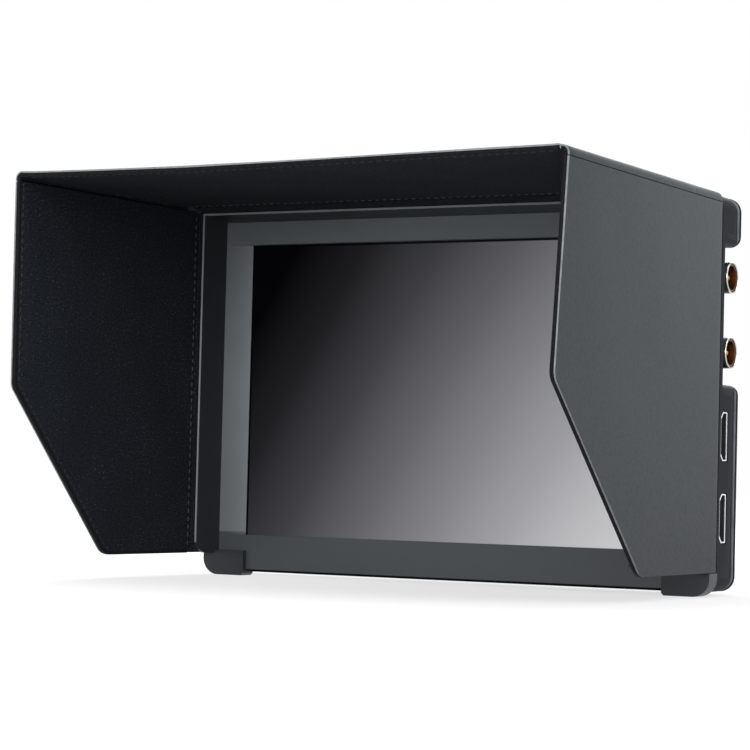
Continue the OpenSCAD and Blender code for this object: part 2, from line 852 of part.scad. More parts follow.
module video_in_port() { video_port(video_heights[1]); }
module video_out_port() { video_port(video_heights[0]); }

module port_tongues() {
  color("#16181a") raised() for (z = video_heights)
    span([port_x1 - video_d + port_floor, video_y - tongue_t / 2, z - tongue_l / 2],
         [port_x1 - tongue_in, video_y + tongue_t / 2, z + tongue_l / 2]);
}

// ---- Left-hand jacks ----

// A jack body behind the left wall with a round nose through the wall
module side_jack(z, r, body_w, body_h, depth) {
  difference() {
    union() {
      span([-inner_half, side_jack_y - body_w / 2, z - body_h / 2],
           [-inner_half + side_body_l, side_jack_y + body_w / 2, z + body_h / 2]);
      rod_x(side_jack_y, z, r + nose_t, -inner_half - nose_l, -inner_half + nose_t);
    }
    rod_x(side_jack_y, z, r, -inner_half - nose_l - cut, -inner_half - nose_l + depth);
  }
}

module power_jack() {
  color("#1d1f21") raised() side_jack(power_z, power_r, power_body_w, power_body_h, power_depth);
}

module power_pin() {
  color("#b4b7b8") raised()
    rod_x(side_jack_y, power_z, power_pin_r, -inner_half - nose_l + power_pin_in,
          -inner_half - nose_l + power_depth);
}

module headphone_jack() {
  color("#1d1f21") raised() side_jack(phones_z, phones_r, phones_body_w, phones_body_h, phones_depth);
}

// ---- Battery plate ----

module at_plate_screws() {
  for (x = [-plate_screw_x, plate_screw_x], z = plate_screw_z) translate([x, 0, plate_z + z]) children();
}

module battery_plate() {
  half = plate_w / 2;
  rail_top = plate_back + rail_h;
  plate_top = plate_z + plate_h;
  block_top = plate_z + block_z0 + block_h;
  color("#2b2e30") raised() difference() {
    union() {
      slab(back_y, plate_back) round_rect(-half, plate_z, half, plate_top, plate_r);
      for (side = [0, 1]) mirror([side, 0, 0]) {
        span([half - rail_t, plate_back - join, plate_z + rail_in], [half, rail_top, plate_top - rail_in]);
        for (z = claw_z)
          span([half - rail_t - claw_in, rail_top - claw_t, plate_z + z],
               [half - rail_t + join, rail_top, plate_z + z + claw_l]);
      }
      span([-half + block_in, plate_back - join, plate_z + block_z0], [half - block_in, rail_top, block_top]);
    }
    at_plate_screws() rod_y(0, 0, screw_r + screw_fit, back_y - cut, plate_back + cut);
    at_plate_screws() rod_y(0, 0, head_r + head_fit, plate_back - head_t, plate_back + cut);
    // slots for the contact blades
    for (x = contact_x)
      span([x - blade_w / 2, plate_back + blade_y0, plate_z + blade_z0],
           [x + blade_w / 2, plate_back + blade_y0 + blade_d, block_top + cut]);
    // window and pocket of the latch
    slab(back_y - cut, plate_back + cut) latch_face(latch_gap);
    slab(back_y - cut, latch_pocket) latch_face(latch_gap + latch_rim);
  }
}

// The latch seen from behind, grown by g
module latch_face(g) {
  translate([0, latch_z]) square([latch_l + 2 * g, latch_w + 2 * g], center = true);
}

module plate_screws() {
  color("#9a9da0") raised() at_plate_screws() screw(plate_back, plate_t + cover_t - plate_tip_gap);
}

module battery_contacts() {
  color("#d0a24c") raised() for (x = contact_x)
    span([x - blade_w / 2, plate_back + blade_y0, plate_z + blade_z0],
         [x + blade_w / 2, plate_back + blade_y0 + blade_d, plate_z + block_z0 + block_h + blade_out]);
}

module battery_latch() {
  color("#c23a2e") raised() union() {
    slab(latch_foot, latch_pocket - latch_play) latch_face(latch_rim);
    slab(latch_pocket - latch_play - join, plate_back + latch_out) latch_face(0);
  }
}

// Space left for the latch's coil spring
module latch_spring() {
  color("#b7babb") raised() difference() {
    rod_y(0, latch_z, spring_r, back_y, latch_foot);
    rod_y(0, latch_z, spring_r - spring_wire, back_y - cut, latch_foot + cut);
  }
}

// ---- Buttons ----

module at_button(n) {
  translate([(n - (button_count - 1) / 2) * button_pitch, button_y, 0]) children();
}

module at_buttons() {
  for (n = [0:button_count - 1]) at_button(n) children();
}

module button(n) {
  cap_z = button_z - join;
  color("#54595c") raised() at_button(n) union() {
    translate([0, 0, cap_z]) linear_extrude(casing_top + button_h - cap_z) pill(button_l, button_w);
    translate([0, 0, button_z - flange_t]) linear_extrude(flange_t)
      pill(button_l + 2 * flange_out, button_w + 2 * flange_out);
  }
}

module power_button() { button(0); }
module input_button() { button(1); }
module menu_button() { button(2); }
module down_button() { button(3); }
module up_button() { button(4); }

module key_switches() {
  color("#8d9194") raised() at_buttons() translate([0, 0, key_board_z]) union() {
    translate([-switch_w / 2, -switch_w / 2, 0]) cube([switch_w, switch_w, switch_h - switch_rim]);
    cylinder(r = plunger_r, h = switch_h);
  }
}

module button_board() {
  color("#1f5a3a") raised()
    span([-key_half, button_y - key_board_w / 2, key_board_z - key_board_t],
         [key_half, button_y + key_board_w / 2, key_board_z]);
}

// ---- Hood frame ----

// Cutters that leave the hood frame's two top corners round along the lip
module arch_corners() {
  for (side = [0, 1]) mirror([side, 0, 0]) difference() {
    slab(lip_y - cut, seat_y)
      square_span(frame_half - arch_r, frame_top - arch_r, frame_half + cut, frame_top + cut);
    rod_y(frame_half - arch_r, frame_top - arch_r, arch_r, lip_y - 2 * cut, seat_y + cut);
  }
}

// The frame seen from the front: its inner opening is given, and its outer top corners are round
module frame_arch(inner, top_in, z0) {
  difference() {
    union() {
      square_span(-frame_half, z0, frame_half, frame_top - arch_r);
      square_span(-frame_half + arch_r, frame_top - 2 * arch_r, frame_half - arch_r, frame_top);
      for (x = [-1, 1]) translate([x * (frame_half - arch_r), frame_top - arch_r]) circle(arch_r);
    }
    square_span(-inner, z0 - cut, inner, top_in);
  }
}

module hood_frame() {
  color("#2c3034") raised() union() {
    // lip that stands in front of the bezel: it tapers to a thin front edge, and its lower ends are round
    difference() {
      side_slab(-frame_half, frame_half)
        polygon(rounded(
          [[lip_y, flap_z - hook_gap], [seat_y, flap_z - hook_gap], [seat_y, frame_top],
           [lip_y + lip_slope, frame_top], [lip_y, frame_top - lip_fall]],
          [lip_r, 0, 0, 0, 0]
        ));
      arch_corners();
      intersection() {
        translate([0, 0, -hook_drop]) linear_extrude(hood_top) polygon([
          [-lip_mouth, lip_y - cut], [-lip_mouth, lip_y], [-strip_half, seat_y], [-strip_half, seat_y + cut],
          [strip_half, seat_y + cut], [strip_half, seat_y], [lip_mouth, lip_y], [lip_mouth, lip_y - cut]
        ]);
        side_slab(-hood_half, hood_half) polygon([
          [lip_y - cut, -hook_drop], [lip_y - cut, lip_mouth_z], [lip_y, lip_mouth_z],
          [seat_y, lip_z], [seat_y + cut, lip_z], [seat_y + cut, -hook_drop]
        ]);
      }
    }
    // walls that reach back round the bezel
    slab(seat_y - join, rear_y)
      frame_arch(wall_in, bezel_top + frame_gap, -hook_drop + hook_r);
    // hooks under the bottom corners
    for (side = [0, 1]) mirror([side, 0, 0]) hook();
  }
}

// The right-hand hook: a plate in front of the bottom bar and a shelf below it
module hook() {
  low = -hook_drop;
  join_z = flap_z - hook_gap;
  shelf_top = -frame_gap;
  difference() {
    slab(hook_y, rear_y) union() {
      polygon([
        [hook_span / 2, low + hook_chamfer], [hook_span / 2 + hook_chamfer, low],
        [hood_half - hook_r, low], [hood_half - hook_r, join_z], [hook_span / 2, join_z]
      ]);
      square_span(hood_half - hook_r - join, low + hook_r, hood_half, join_z);
      translate([hood_half - hook_r, low + hook_r]) intersection() {
        circle(hook_r);
        square_span(-join, -hook_r, hook_r, join);
      }
      square_span(hook_span / 2, join_z - join, frame_half, hook_h);
    }
    // the bezel's own space, open above the shelf
    slab(seat_y, rear_y + cut) square_span(-hood_half, shelf_top, wall_in, hook_h + cut);
  }
}

// One soft corner between the top and a side, from y0 back to y1; side is -1 or 1
module corner_band(side, y0, y1) {
  slab(y0, y1) intersection() {
    translate([side * top_half, flap_top + corner_gap]) difference() {
      circle(corner_r);
      circle(corner_r - flap_t);
    }
    square_span(side > 0 ? top_half : -hood_half - cut, flap_top + corner_gap,
                side > 0 ? hood_half + cut : -top_half, hood_top + cut);
  }
}

module frame_skin() {
  color("#3a3e41") raised() union() {
    slab(left_crease + crease_gap, rear_y)
      square_span(-hood_half, flap_z, -frame_half, flap_top + corner_gap);
    slab(right_crease + crease_gap, rear_y)
      square_span(frame_half, flap_z, hood_half, flap_top + corner_gap);
    slab(top_crease + crease_gap, rear_y)
      square_span(-top_half, frame_top, top_half, hood_top);
    for (side = [-1, 1]) corner_band(side, top_crease + crease_gap, rear_y);
  }
}

// ---- Hood flaps ----

// A side flap's outline in Y and Z
function side_outline(crease, reach, knee_reach, knee_z, low_reach, g) =
  rounded(
    [
      [crease - flap_t - crease_gap - g, flap_z + g],
      [crease - flap_t - crease_gap - g, flap_top - g],
      [front_y - reach + g, flap_top - g],
      [front_y - knee_reach + g, knee_z],
      [front_y - low_reach + g / 2, flap_z + g]
    ],
    [0, 0, top_r, flap_r, low_r]
  );

function right_outline(g = 0) =
  side_outline(right_crease, right_reach, right_knee_reach, right_knee_z, right_low_reach, g);
function left_outline(g = 0) =
  side_outline(left_crease, left_reach, left_knee_reach, left_knee_z, left_low_reach, g);

module right_flap_skin() {
  color("#4a4e52") raised() side_slab(skin_in, hood_half) polygon(right_outline());
}
module right_flap_board() {
  color("#8a7a5c") raised() side_slab(lining_out, skin_in) polygon(right_outline(board_inset));
}
module right_flap_lining() {
  color("#14181d") raised() side_slab(frame_half, lining_out) polygon(right_outline());
}
module left_flap_skin() {
  color("#4a4e52") raised() side_slab(-hood_half, -skin_in) polygon(left_outline());
}
module left_flap_board() {
  color("#8a7a5c") raised() side_slab(-skin_in, -lining_out) polygon(left_outline(board_inset));
}
module left_flap_lining() {
  color("#14181d") raised() side_slab(-lining_out, -frame_half) polygon(left_outline());
}

// The top flap's outline in X and Y: its front edge follows both side flaps
module top_outline(g) {
  back = top_crease - flap_t - crease_gap - g;
  polygon([
    [-top_half + g, back], [top_half - g, back],
    [top_half - g, front_y - right_reach + g], [-top_half + g, front_y - left_reach + g]
  ]);
}

module top_layer(z0, z1, g = 0) {
  translate([0, 0, z0]) linear_extrude(z1 - z0) top_outline(g);
}

module top_flap_skin() { color("#4a4e52") raised() top_layer(hood_top - skin_t, hood_top); }
module top_flap_board() { color("#8a7a5c") raised() top_layer(frame_top + lining_t, hood_top - skin_t, board_inset); }
module top_flap_lining() { color("#14181d") raised() top_layer(frame_top, frame_top + lining_t); }

module left_corner_lip() {
  color("#3a3e41") raised() corner_band(-1, front_y - left_reach, top_crease - flap_t - crease_gap);
}
module right_corner_lip() {
  color("#3a3e41") raised() corner_band(1, front_y - right_reach, top_crease - flap_t - crease_gap);
}

// ---- Assembly ----

front_bezel();
status_light();
lcd_panel();
backlight_unit();
panel_tray();
heat_spreader();
board_standoffs();
main_board();
board_chips();
ribbon_cable();
speaker();
middle_casing();
rear_cover();
casing_screws();
tripod_insert();
coax_in_jack();
coax_out_jack();
coax_insulators();
coax_contacts();
coax_nuts();
video_in_port();
video_out_port();
port_tongues();
power_jack();
power_pin();
headphone_jack();
battery_plate();
plate_screws();
battery_contacts();
battery_latch();
latch_spring();
button_board();
key_switches();
power_button();
input_button();
menu_button();
down_button();
up_button();
hood_frame();
frame_skin();
left_flap_board();
left_flap_skin();
left_flap_lining();
right_flap_board();
right_flap_skin();
right_flap_lining();
top_flap_board();
top_flap_skin();
top_flap_lining();
left_corner_lip();
right_corner_lip();
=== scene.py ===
"""Camera field monitor with a folding sun hood: the looks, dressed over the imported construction."""

import json
import math

import bmesh
import bpy
from bpy.props import FloatProperty, FloatVectorProperty, PointerProperty
from bpy.types import Operator, Panel, PropertyGroup
from mathutils import Matrix, Vector, noise


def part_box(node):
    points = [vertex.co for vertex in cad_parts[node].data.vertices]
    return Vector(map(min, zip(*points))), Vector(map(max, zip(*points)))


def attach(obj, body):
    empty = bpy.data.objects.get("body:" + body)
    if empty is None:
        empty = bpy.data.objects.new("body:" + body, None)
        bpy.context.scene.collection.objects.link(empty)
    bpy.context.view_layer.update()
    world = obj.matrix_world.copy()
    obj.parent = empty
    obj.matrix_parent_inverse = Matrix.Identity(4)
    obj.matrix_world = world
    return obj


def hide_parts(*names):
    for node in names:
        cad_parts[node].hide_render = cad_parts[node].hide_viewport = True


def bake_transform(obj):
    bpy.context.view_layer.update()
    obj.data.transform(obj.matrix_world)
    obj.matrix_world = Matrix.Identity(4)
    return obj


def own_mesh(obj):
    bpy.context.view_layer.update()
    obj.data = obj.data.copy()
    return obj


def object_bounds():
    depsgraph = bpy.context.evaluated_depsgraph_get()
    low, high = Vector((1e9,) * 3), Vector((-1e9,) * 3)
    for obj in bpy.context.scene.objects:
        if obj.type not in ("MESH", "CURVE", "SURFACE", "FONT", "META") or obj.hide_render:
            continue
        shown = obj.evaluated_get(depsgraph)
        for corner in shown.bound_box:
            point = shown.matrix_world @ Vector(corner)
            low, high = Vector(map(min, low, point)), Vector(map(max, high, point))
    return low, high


bl_info = {
    "name": "Field Monitor With Sun Hood",
    "version": (1, 0, 0),
    "blender": (4, 5, 0),
    "location": "View3D > Sidebar > Field Monitor",
    "description": "Dresses the construction of a camera field monitor and its folding sun hood",
    "category": "Object",
}

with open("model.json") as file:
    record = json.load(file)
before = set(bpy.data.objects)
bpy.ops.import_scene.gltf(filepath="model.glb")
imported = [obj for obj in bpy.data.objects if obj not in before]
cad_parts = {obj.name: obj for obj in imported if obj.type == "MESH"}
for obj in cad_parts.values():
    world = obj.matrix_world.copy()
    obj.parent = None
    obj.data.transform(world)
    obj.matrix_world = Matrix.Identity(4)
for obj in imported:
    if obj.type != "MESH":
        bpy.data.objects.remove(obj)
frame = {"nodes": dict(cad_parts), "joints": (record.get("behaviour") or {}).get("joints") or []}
CAD_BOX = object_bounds()
MM = 0.001

# Where the construction puts things, read from its own joints and solids
JOINTS = {j["name"]: j for j in frame["joints"]}
HOOD_HALF = JOINTS["right_flap_fold"]["pos_m"][0]
HOOD_TOP = JOINTS["top_flap_fold"]["pos_m"][2]
FRAME_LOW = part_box("hood_frame")[0]
SKIN_LOW, SKIN_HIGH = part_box("frame_skin")
CORNER_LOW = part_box("right_corner_lip")[0]
LINING_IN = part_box("right_flap_lining")[0].x
LINING_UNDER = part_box("top_flap_lining")[0].z
TOP_HALF = CORNER_LOW.x
CORNER_Z = CORNER_LOW.z
CORNER_R = HOOD_HALF - TOP_HALF
FLAP_T = HOOD_HALF - LINING_IN
SKIN = HOOD_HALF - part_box("right_flap_skin")[0].x
BOARD = HOOD_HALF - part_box("right_flap_board")[0].x
CREASE_BACK = 0.15 * MM  # the frame's own covering ends this far behind a crease
CREASE_FRONT = 1.75 * MM  # a flap's board starts this far in front of its crease
SEAM_DROP = 0.6 * MM  # the shoulders' seams lie this far down the sides
SEAM_FRONT = 2.0 * MM  # a crease seam runs this far in front of its crease
SEAM_IN = 1.9 * MM  # an edge seam runs this far in from its edge
SHARP = 34  # degrees: a construction solid's edge that turns more than this is eased
RIM = 0.7 * MM  # width of the dark strip behind the covering, painted shade for the gap there
GAP_SHADOW = 1.2 * MM  # width of the shadow painted along the panel's upper and left edges, with what the bezel hides of it
ROLL_LONG = 1.1 * MM  # the covering rolls over the frame's rear edge within this length
ROLL_DEEP = 0.62 * MM  # and dips this deep there
FREE_FROM = 4.0 * MM  # a flap's free edge starts this far in front of its crease
TAPE_END = 2.3 * MM  # the edging's lower end comes this near to the crease
WAVE_LONG = 0.034  # metres: how far apart the covering's slow waves lie
SIDE_MIDDLE = Vector((0, -0.06, 0.06))  # about the middle of a side flap, whatever its x
SHADOW_PLACE = (0.07, -0.03, 0.0)  # where the shadow painted on the floor is deepest
SIDE_FLAPS = (("left_flap", -1), ("right_flap", 1))


# ---- Small helpers ----


def colour(hex_code):
    """A colour written as sRGB hex, turned to the linear values that shaders take."""
    values = [int(hex_code[i : i + 2], 16) / 255 for i in (1, 3, 5)]
    return [v / 12.92 if v <= 0.04045 else ((v + 0.055) / 1.055) ** 2.4 for v in values] + [1.0]


def per(size_mm):
    """The pattern scale at which one grain, cell or thread is this many millimetres wide."""
    return 1000.0 / size_mm


def add(material, kind, *links, **settings):
    """Adds a node with its settings and (output, input) links into it. in0 and in1 are inputs by place."""
    tree = material.node_tree
    node = tree.nodes.new("ShaderNode" + kind)
    for key, value in settings.items():
        if key == "stops":
            while len(node.color_ramp.elements) < len(value):
                node.color_ramp.elements.new(1.0)
            for element, (place, tone) in zip(node.color_ramp.elements, value):
                element.position = place
                element.color = colour(tone) if isinstance(tone, str) else tone
        elif key[:2] == "in" and key[2:].isdigit():
            node.inputs[int(key[2:])].default_value = value
        elif hasattr(node, key):
            setattr(node, key, value)
        else:
            node.inputs[key.replace("_", " ")].default_value = value
    for source, target in links:
        tree.links.new(source, node.inputs[target])
    return node.outputs


def new_material(name, **surface):
    """A material and its one shader, with uniform values set on the shader's own sockets."""
    material = bpy.data.materials.new(name)
    material.use_nodes = True
    shader = material.node_tree.nodes["Principled BSDF"]
    for key, value in surface.items():
        shader.inputs[key.replace("_", " ")].default_value = value
    return material, shader


def wire(material, output, shader, socket):
    material.node_tree.links.new(output, shader.inputs[socket])


def place_in(material, map_name="Object"):
    """The point's own place in metres: in the frame, or on a sheet's flat pattern."""
    return add(material, "TexCoord")[map_name]


# ---- Finishes ----


def moulded(name, light, dark, grain_mm=0.5, grain_um=12, rough=(0.42, 0.5), patch_mm=30, **uniform):
    """A surface with slightly uneven colour and gloss and a fine grain, as most made surfaces have."""
    material, shader = new_material(name, **uniform)
    place = place_in(material)
    patches = add(material, "TexNoise", (place, "Vector"), Scale=per(patch_mm), Detail=3.0, Roughness=0.6)
    tone = add(material, "ValToRGB", (patches["Fac"], "Fac"), stops=[(0.35, dark), (0.65, light)])
    wire(material, tone["Color"], shader, "Base Color")
    fine = add(material, "TexNoise", (place, "Vector"), Scale=per(grain_mm), Detail=2.0, Roughness=0.5)
    gloss = add(material, "MapRange", (fine["Fac"], "Value"), To_Min=rough[0], To_Max=rough[1])
    wire(material, gloss["Result"], shader, "Roughness")
    bump = add(material, "Bump", (fine["Fac"], "Height"), Strength=1.0, Distance=grain_um * 1e-6)
    wire(material, bump["Normal"], shader, "Normal")
    return material


def embossed_leatherette(name, light, dark):
    """Polyurethane leatherette, embossed by a roller: soft cells just under 1 mm across, glossier in their
    middles than between them, so that a broad highlight breaks up finely."""
    material, shader = new_material(name, IOR=1.48, Specular_IOR_Level=0.22)
    place = place_in(material, "UV")
    broad = add(material, "TexNoise", (place, "Vector"), Scale=per(35), Detail=3.0, Roughness=0.6)
    mottle = add(material, "TexNoise", (place, "Vector"), Scale=per(1.3), Detail=3.0, Roughness=0.75)
    patches = add(material, "Mix", (broad["Fac"], 2), (mottle["Fac"], 3), in0=0.55)
    tone = add(material, "ValToRGB", (patches[0], "Fac"), stops=[(0.38, dark), (0.62, light)])
    # paler towards the upper rear, as the object's light falls: the lamps alone are too even for it
    spot = add(material, "SeparateXYZ", (place, "Vector"))
    rear = add(material, "MapRange", (spot["X"], "Value"), From_Min=-120 * MM, From_Max=-8 * MM)
    high = add(material, "MapRange", (spot["Y"], "Value"), From_Min=10 * MM, From_Max=119 * MM)
    both = add(material, "Math", (rear["Result"], 0), (high["Result"], 1), operation="MULTIPLY")
    share = add(material, "MapRange", (both["Value"], "Value"), To_Min=0.71, To_Max=1.45)
    painted_light_tone = add(material, "VectorMath", (tone["Color"], 0), (share["Result"], "Scale"), operation="SCALE")
    wire(material, painted_light_tone["Vector"], shader, "Base Color")
    cells = add(
        material, "TexVoronoi", (place, "Vector"), feature="SMOOTH_F1", Scale=per(0.9), Smoothness=0.6,
    )
    pores = add(material, "TexNoise", (place, "Vector"), Scale=per(0.45), Detail=2.0, Roughness=0.5)
    height = add(material, "Math", (cells["Distance"], 0), (pores["Fac"], 1), operation="ADD")
    gloss = add(material, "MapRange", (cells["Distance"], "Value"), To_Min=0.5, To_Max=0.62)
    wire(material, gloss["Result"], shader, "Roughness")
    bump = add(material, "Bump", (height["Value"], "Height"), Strength=1.0, Distance=0.035 * MM)
    wire(material, bump["Normal"], shader, "Normal")
    return material


def looped_cloth(name, light, dark, speck, along):
    """Black loop cloth, woven with a raised weft: rows of small loops that swallow light, a few of them
    catching it as specks. The loops are drawn 0.55 mm wide, so that they show."""
    material, shader = new_material(name, Roughness=0.85, Specular_IOR_Level=0.12, Sheen_Weight=0.02)
    place = place_in(material, "UV")
    stretch = [per(0.55)] * 3
    stretch[along] = per(1.1)
    rows = add(material, "Mapping", (place, "Vector"), Scale=stretch)
    loops = add(material, "TexNoise", (rows["Vector"], "Vector"), Scale=1.0, Detail=2.0, Roughness=0.65)
    pile = add(material, "TexNoise", (place, "Vector"), Scale=per(0.35), Detail=2.0, Roughness=0.5)
    worn = add(material, "TexNoise", (place, "Vector"), Scale=per(24), Detail=2.0)
    part = add(material, "Math", (worn["Fac"], 0), (loops["Fac"], 2), operation="MULTIPLY_ADD", in1=0.16)
    tone = add(material, "ValToRGB", (part["Value"], "Fac"), stops=[
        (0.42, dark), (0.64, light), (0.72, light), (0.79, speck),
    ])
    wire(material, tone["Color"], shader, "Base Color")
    height = add(material, "Math", (loops["Fac"], 0), (pile["Fac"], 1), operation="ADD")
    bump = add(material, "Bump", (height["Value"], "Height"), Strength=0.8, Distance=0.25 * MM)
    wire(material, bump["Normal"], shader, "Normal")
    return material


def brushed(name, light, dark, along, rough=(0.22, 0.36), **uniform):
    """Metal drawn over a belt: hair-fine scratches one way, which smear a highlight across them."""
    material, shader = new_material(name, Metallic=1.0, **uniform)
    place = place_in(material)
    stretch = [per(0.3)] * 3
    stretch[along] = per(9.0)
    lines = add(material, "Mapping", (place, "Vector"), Scale=stretch)
    hairs = add(material, "TexNoise", (lines["Vector"], "Vector"), Scale=1.0, Detail=3.0, Roughness=0.6)
    tone = add(material, "ValToRGB", (hairs["Fac"], "Fac"), stops=[(0.3, dark), (0.7, light)])
    wire(material, tone["Color"], shader, "Base Color")
    gloss = add(material, "MapRange", (hairs["Fac"], "Value"), To_Min=rough[0], To_Max=rough[1])
    wire(material, gloss["Result"], shader, "Roughness")
    bump = add(material, "Bump", (hairs["Fac"], "Height"), Strength=0.6, Distance=0.004 * MM)
    wire(material, bump["Normal"], shader, "Normal")
    return material


def panel_glass(name):
    """Display glass, coated against glare: a painted reflection, drawn on the panel as its picture and
    glowing a little against the hood's shade, ramps plainly from black at its upper left to pale grey at
    its lower right, with a painted shadow along its upper and left edges."""
    # the glass glows a little: painted light against the hood's shade
    material, shader = new_material(
        name, IOR=1.5, Roughness=0.22, Specular_IOR_Level=0.08, Emission_Strength=0.55,
    )
    low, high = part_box("lcd_panel")
    place = add(material, "SeparateXYZ", (place_in(material), "Vector"))
    # tones in steps of 255: how they rise per mm to the right and downwards, the tone at the frame's
    # origin, and the ramp's two ends
    rise_right, rise_down, at_origin, darkest, palest = 1.172, 0.706, 149.5, 4, 215
    across = add(material, "Math", (place["X"], 0), operation="MULTIPLY", in1=rise_right / MM)
    down = add(
        material, "Math", (place["Z"], 0), (across["Value"], 2), operation="MULTIPLY_ADD",
        in1=-rise_down / MM,
    )
    share = add(
        material, "MapRange", (down["Value"], "Value"), From_Min=darkest - at_origin,
        From_Max=palest - at_origin,
    )
    tone = add(material, "ValToRGB", (share["Result"], "Fac"), stops=[
        (0.0, "#050507"), (0.15, "#202023"), (0.3, "#404044"), (0.45, "#616065"), (0.6, "#828186"),
        (0.75, "#a3a2a6"), (0.9, "#c8c7ca"), (1.0, "#dcdbdd"),
    ])
    # a painted shadow, under the bezel's edge, shows as a hairline above the picture and at its left
    beyond = add(material, "Math", (place["X"], 0), operation="LESS_THAN", in1=low.x + GAP_SHADOW)
    above = add(material, "Math", (place["Z"], 0), operation="GREATER_THAN", in1=high.z - GAP_SHADOW)
    either = add(material, "Math", (beyond["Value"], 0), (above["Value"], 1), operation="MAXIMUM")
    shown = add(
        material, "Mix", (either["Value"], 0), (tone["Color"], 6), data_type="RGBA", in7=colour("#040405"),
    )
    wire(material, shown[2], shader, "Base Color")
    wire(material, shown[2], shader, "Emission Color")
    return material


def two_zone(name, tones_here, tones_past, axis, start, end, rough=(0.5, 0.3), metal_past=0.0, **uniform):
    """One surface in two finishes, whose tones paint light and shade on it: the second takes over along an
    axis, from start to end.
    """
    material, shader = new_material(name, **uniform)
    place = place_in(material)
    patches = add(material, "TexNoise", (place, "Vector"), Scale=per(12), Detail=4.0, Roughness=0.65)
    here, past = (
        add(material, "ValToRGB", (patches["Fac"], "Fac"), stops=[(0.35, dark), (0.65, light)])
        for light, dark in (tones_here, tones_past)
    )
    along = add(material, "SeparateXYZ", (place, "Vector"))
    zone = add(material, "MapRange", (along[axis], "Value"), From_Min=start, From_Max=end)
    tone = add(material, "Mix", (zone["Result"], 0), (here["Color"], 6), (past["Color"], 7), data_type="RGBA")
    wire(material, tone[2], shader, "Base Color")
    if metal_past:
        metal = add(material, "Math", (zone["Result"], 0), operation="MULTIPLY", in1=metal_past)
        wire(material, metal["Value"], shader, "Metallic")
    fine = add(material, "TexNoise", (place, "Vector"), Scale=per(0.45), Detail=2.0)
    gloss = add(material, "MapRange", (zone["Result"], "Value"), To_Min=rough[0], To_Max=rough[1])
    wire(material, gloss["Result"], shader, "Roughness")
    bump = add(material, "Bump", (fine["Fac"], "Height"), Distance=0.012 * MM)
    wire(material, bump["Normal"], shader, "Normal")
    return material


def seen_plainly(material):
    """1 where the camera, a reflection or glass sees the surface, and 0 where it only gives light."""
    path = add(material, "LightPath")
    seen = add(material, "Math", (path["Is Camera Ray"], 0), (path["Is Glossy Ray"], 1), operation="MAXIMUM")
    seen = add(material, "Math", (seen["Value"], 0), (path["Is Transmission Ray"], 1), operation="MAXIMUM")
    return seen["Value"]


def backdrop_paper(name):
    """White paper sweep: seen straight or in a reflection it is plain white, but for a faint contact shadow,
    deepest under the object's right front, which the lamps cast in part and a dimmer glow paints in part."""
    material = bpy.data.materials.new(name)
    material.use_nodes = True
    tree = material.node_tree
    tree.nodes.remove(tree.nodes["Principled BSDF"])
    seen = seen_plainly(material)
    place = place_in(material)
    # painted shadow: the glow dims towards this place
    away = add(material, "VectorMath", (place, 0), operation="DISTANCE", in1=SHADOW_PLACE)
    level = add(
        material, "MapRange", (away["Value"], "Value"), From_Min=0.04, From_Max=0.5, To_Min=0.67, To_Max=1.0,
    )
    lit = add(material, "BsdfDiffuse", Color=colour("#959595"))
    glow = add(material, "Emission", (level["Result"], "Strength"), Color=colour("#ffffff"))
    both = add(material, "AddShader", (lit["BSDF"], 0), (glow["Emission"], 1))
    plain = add(material, "BsdfDiffuse", Color=colour("#9c9c9c"))
    chosen = add(material, "MixShader", (seen, 0), (plain["BSDF"], 1), (both["Shader"], 2))
    tree.links.new(chosen["Shader"], tree.nodes["Material Output"].inputs["Surface"])
    return material


# ---- Making meshes ----


def mesh_object(name, verts, faces, material):
    """A mesh object from points in metres, with its faces turned outwards."""
    mesh = bpy.data.meshes.new(name)
    mesh.from_pydata([tuple(v) for v in verts], [], faces)
    work = bmesh.new()
    work.from_mesh(mesh)
    bmesh.ops.remove_doubles(work, verts=work.verts, dist=1e-6)
    bmesh.ops.recalc_face_normals(work, faces=work.faces)
    work.to_mesh(mesh)
    work.free()
    mesh.materials.append(material)
    mesh.polygons.foreach_set("use_smooth", [True] * len(mesh.polygons))
    obj = bpy.data.objects.new(name, mesh)
    bpy.context.collection.objects.link(obj)
    return obj


def bake(obj):
    """Turns what the modifiers make into the object's own mesh."""
    bpy.context.view_layer.update()
    made = bpy.data.meshes.new_from_object(obj.evaluated_get(bpy.context.evaluated_depsgraph_get()))
    obj.modifiers.clear()
    obj.data = made
    return obj


def ease_edges(obj, width):
    """Rounds the sharp edges, as a mould, a cutter or a folded sheet leaves them."""
    weld = obj.modifiers.new("weld", "WELD")
    weld.merge_threshold = 0.002 * MM
    flat = obj.modifiers.new("flat faces", "DECIMATE")
    flat.decimate_type = "DISSOLVE"
    flat.angle_limit = math.radians(0.5)
    ease = obj.modifiers.new("eased edges", "BEVEL")
    ease.width = width
    ease.segments = 2
    ease.limit_method = "ANGLE"
    ease.angle_limit = math.radians(SHARP)
    ease.harden_normals = True
    # large flat faces stay evenly shaded round their slots
    level = obj.modifiers.new("level faces", "WEIGHTED_NORMAL")
    level.weight = 100
    obj.data.polygons.foreach_set("use_smooth", [True] * len(obj.data.polygons))
    return obj


def dress(node, material, width=0.0):
    """Gives a construction solid its finish and, if asked, its eased edges."""
    obj = frame["nodes"][node]
    obj.data.materials.clear()
    obj.data.materials.append(material)
    if width:
        ease_edges(obj, width)
    return obj


def rings_object(name, rings, material, loop=False):
    """Joins closed rings of points one after another; the ends are capped, or meet in a loop."""
    count = len(rings[0])
    verts = [p for ring in rings for p in ring]
    faces = []
    for i in range(len(rings) if loop else len(rings) - 1):
        a, b = i * count, ((i + 1) % len(rings)) * count
        for j in range(count):
            k = (j + 1) % count
            faces.append((a + j, a + k, b + k, b + j))
    if not loop:
        faces.append(tuple(range(count)))
        faces.append(tuple(range((len(rings) - 1) * count, len(rings) * count)))
    return mesh_object(name, verts, faces, material)


